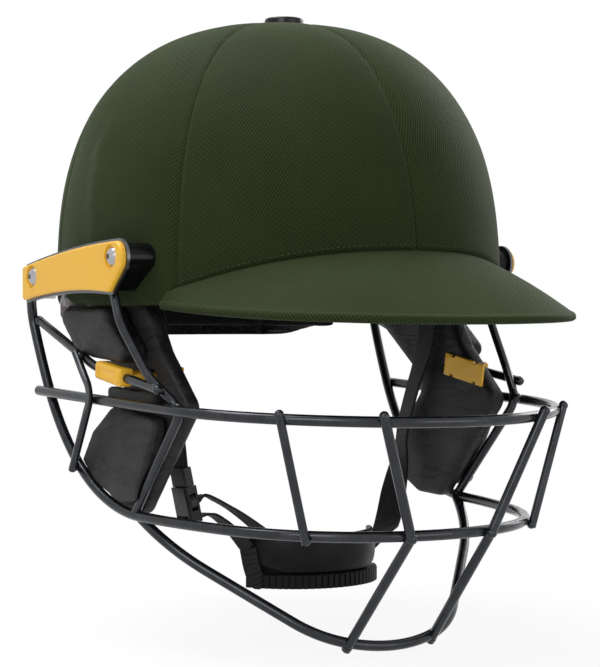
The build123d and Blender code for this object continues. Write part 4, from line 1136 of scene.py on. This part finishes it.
def make_straps():
    """Both side straps, the two webs of the chin cup and the loose tail."""
    ribbon("left_webbing", "chin_strap", "left_strap", strap_top(1.0) + strap_places(LEFT_STRAP, 1.0),
           STRAP_WIDTH, [(0.0, FORE_AFT), (0.2, FORE_AFT), (0.36, (0.2, 0.97, 0.0)),
                         (0.58, (0.22, 0.95, 0.0)), (0.74, (-0.6, 0.75, -0.2)),
                         (0.9, (-0.75, 0.55, -0.3)), (1.0, (-0.45, 0.45, -0.75))], round_start=True)
    ribbon("right_webbing", "right_strap", "right_strap",
           strap_top(-1.0) + strap_places(RIGHT_STRAP, -1.0) + [buckle_place(0.0, 0.0, -8.0)],
           STRAP_WIDTH, [(0.0, FORE_AFT), (0.7, FORE_AFT), (1.0, tuple(-BUCKLE_ACROSS))], round_start=True)
    ribbon("upper_cup_webbing", "chin_strap", "cup_straps",
           [buckle_place(0.0, -4.3, 9.0)] + strap_places(UPPER_CUP, -1.0),
           UPPER_WEB, [(0.0, FORE_AFT), (0.5, (0.1, 0.9, -0.1)), (1.0, (0.0, 0.6, -0.6))])
    ribbon("lower_cup_webbing", "chin_strap", "cup_straps",
           [buckle_place(0.0, -3.5, 15.8)] + strap_places(LOWER_CUP, -1.0),
           LOWER_WEB, [(0.0, FORE_AFT), (0.5, (-0.1, 0.9, -0.1)), (1.0, (-0.7, 0.6, -0.2))])
    ribbon("ribbed_tail", "chin_strap", "cup_straps", strap_places(LOWER_CUP[-1:] + TAIL, -1.0),
           TAIL_WIDTH, [(0.0, (-0.7, 0.6, -0.2)), (1.0, (-0.8, 0.55, 0.0))], round_end=True, ribs=True)


make_straps()


# Welds of the guard: places in shares of its size, and the beads' radii

GUARD = Vector((108.0, 158.0, 102.6))
BEAD_ROUGHNESS, BEAD_GRAIN = 0.10, 420.0
WELDS = [
    ((0.739, -0.779, -0.462), 2.2), ((0.588, -0.755, -1.010), 2.2),
    ((0.411, -0.962, -0.468), 2.5), ((0.206, -0.893, -1.006), 2.65), ((0.222, -0.590, -1.535), 2.6),
    ((0.905, -0.415, -0.455), 2.55), ((0.872, -0.127, -0.962), 2.6),
    ((0.966, 0.415, -0.078), 2.5), ((0.968, -0.372, -0.374), 2.45),
    ((0.990, 0.095, -0.240), 2.35), ((0.955, 0.180, -0.770), 2.45),
]


def make_welds():
    """Beads where the wires are welded together."""
    beads = []
    for number, (share, radius) in enumerate(WELDS):
        for side in (1.0, -1.0):
            place = Vector((side * share[0] * GUARD.x, share[1] * GUARD.y, share[2] * GUARD.z)) * MM
            bead = new_mesh("bead", bpy.ops.mesh.primitive_ico_sphere_add, subdivisions=3, radius=radius * MM)
            for vertex in bead.data.vertices:
                away = vertex.co.copy()
                grain = Vector((away.x * side, away.y, away.z)) * BEAD_GRAIN + Vector((number, 0, 0))
                vertex.co = place + away * (1 + BEAD_ROUGHNESS * noise.noise(grain))
            beads.append(bead)
    welds = join_pieces("guard_welds", beads)
    rounded(welds, 0)
    register(welds, "helmet", "guard_wire", "guard_wire")


make_welds()


# Crown button, pad clips and their inner plates

CLIP_SIZE, CLIP_EDGE, CLIP_SLOPE = (8.4, 26.0, 8.6), 1.9, radians(8.27)
CLIP_PLACE = (104.6, -16.0, -32.2)
WINDOW_SIZE, WINDOW_EDGE, WINDOW_PLACE = (1.2, 17.0, 4.6), 0.5, (4.4, 1.0, 0.0)
STEM_SIZE, STEM_EDGE, STEM_PLACE = (18.0, 11.0, 3.4), 0.6, (-10.0, -6.0, 0.0)
PLATE_THICKNESS, PLATE_WIDTH, PLATE_EDGE, PLATE_SLOPE = 1.6, 11.4, 0.5, radians(10.0)
PLATE_SIDE, PLATE_LEVEL = 82.2, -32.6
PLATE_RUNS = {"left": (32.0, -42.0), "right": (24.0, -29.5)}
NOTCH_SIZE, NOTCH_EDGE, NOTCH_SHARE, NOTCH_UP = (4.0, 3.4, 3.2), 0.6, 0.3, 5.9
BUTTON_RADIUS, BUTTON_HEIGHT, BUTTON_LEVEL, BUTTON_EDGE = 9.8, 5.4, 142.2, 1.3
BUTTON_RINGS = [(1.0, 0.0), (0.5, -0.25), (0.5, 0.25), (3.0, 0.25)]


def rounded_block(name, size, edge, segments=4):
    """Block about the origin with rounded edges, in millimetres."""
    piece = new_mesh(name, bpy.ops.mesh.primitive_cube_add, size=1.0)
    piece.data.transform(Matrix.Diagonal((size[0] * MM, size[1] * MM, size[2] * MM, 1.0)))
    edit_whole(piece, bpy.ops.mesh.bevel, offset=edge * MM, segments=segments, profile=0.5)
    return piece


def shift_mesh(piece, x, y, z):
    """Move a piece's mesh, in millimetres."""
    piece.data.transform(Matrix.Translation(Vector((x, y, z)) * MM))


def cut_out(piece, size, edge, *place):
    """Cut a rounded block out of a piece."""
    cutter = rounded_block("cutter", size, edge, 2)
    shift_mesh(cutter, *place)
    put_modifier(piece, "BOOLEAN", operation="DIFFERENCE", object=cutter, solver="EXACT")
    bpy.data.objects.remove(cutter)


def finish_at_side(piece, node, slope, *place):
    """Turn a piece to a slope in the side view, put it at its place and register it."""
    piece.data.transform(Matrix.Rotation(slope, 4, "X"))
    shift_mesh(piece, *place)
    shade_by_angle(piece, 35.0)
    register(piece, "helmet", "yellow_plastic", "yellow_plastic", node)


def make_clips():
    """Clip round the diagonal wire and notched plate inside the cheek pad, each side."""
    for label, side in SIDES.items():
        clip = rounded_block(label + "_wire_clip", CLIP_SIZE, CLIP_EDGE)
        cut_out(clip, WINDOW_SIZE, WINDOW_EDGE, side * WINDOW_PLACE[0], *WINDOW_PLACE[1:])
        stem = rounded_block("stem", STEM_SIZE, STEM_EDGE, 2)
        shift_mesh(stem, side * STEM_PLACE[0], *STEM_PLACE[1:])
        clip = join_pieces(label + "_wire_clip", [clip, stem])
        finish_at_side(clip, label + "_pad_clip", CLIP_SLOPE, side * CLIP_PLACE[0], *CLIP_PLACE[1:])
        length, middle = PLATE_RUNS[label]
        plate = rounded_block(label + "_notched_plate", (PLATE_THICKNESS, length, PLATE_WIDTH), PLATE_EDGE, 3)
        for along in (-NOTCH_SHARE, NOTCH_SHARE):
            for up in (-NOTCH_UP, NOTCH_UP):
                cut_out(plate, NOTCH_SIZE, NOTCH_EDGE, 0.0, along * length, up)
        finish_at_side(plate, label + "_clip_plate", PLATE_SLOPE, side * PLATE_SIDE, middle, PLATE_LEVEL)


make_clips()


def make_button():
    """Low round button over the meeting of the seams."""
    button = new_mesh("cap_button", bpy.ops.mesh.primitive_cylinder_add, vertices=64,
                      radius=BUTTON_RADIUS * MM, depth=BUTTON_HEIGHT * MM)
    shift_mesh(button, 0.0, 0.0, BUTTON_LEVEL)
    edit_whole(button, bpy.ops.mesh.bevel, offset=BUTTON_EDGE * MM, segments=5, profile=0.5)
    edit_whole(button, bpy.ops.mesh.select_all, action="DESELECT")
    for face in button.data.polygons:
        face.select = face.normal.z > 0.99
    bpy.ops.object.mode_set(mode="EDIT")
    for width, rise in BUTTON_RINGS:
        bpy.ops.mesh.inset(thickness=width * MM, depth=rise * MM)
    bpy.ops.object.mode_set(mode="OBJECT")
    shade_by_angle(button, 40.0)
    register(button, "helmet", "spacer", "button", "crown_button")


make_button()
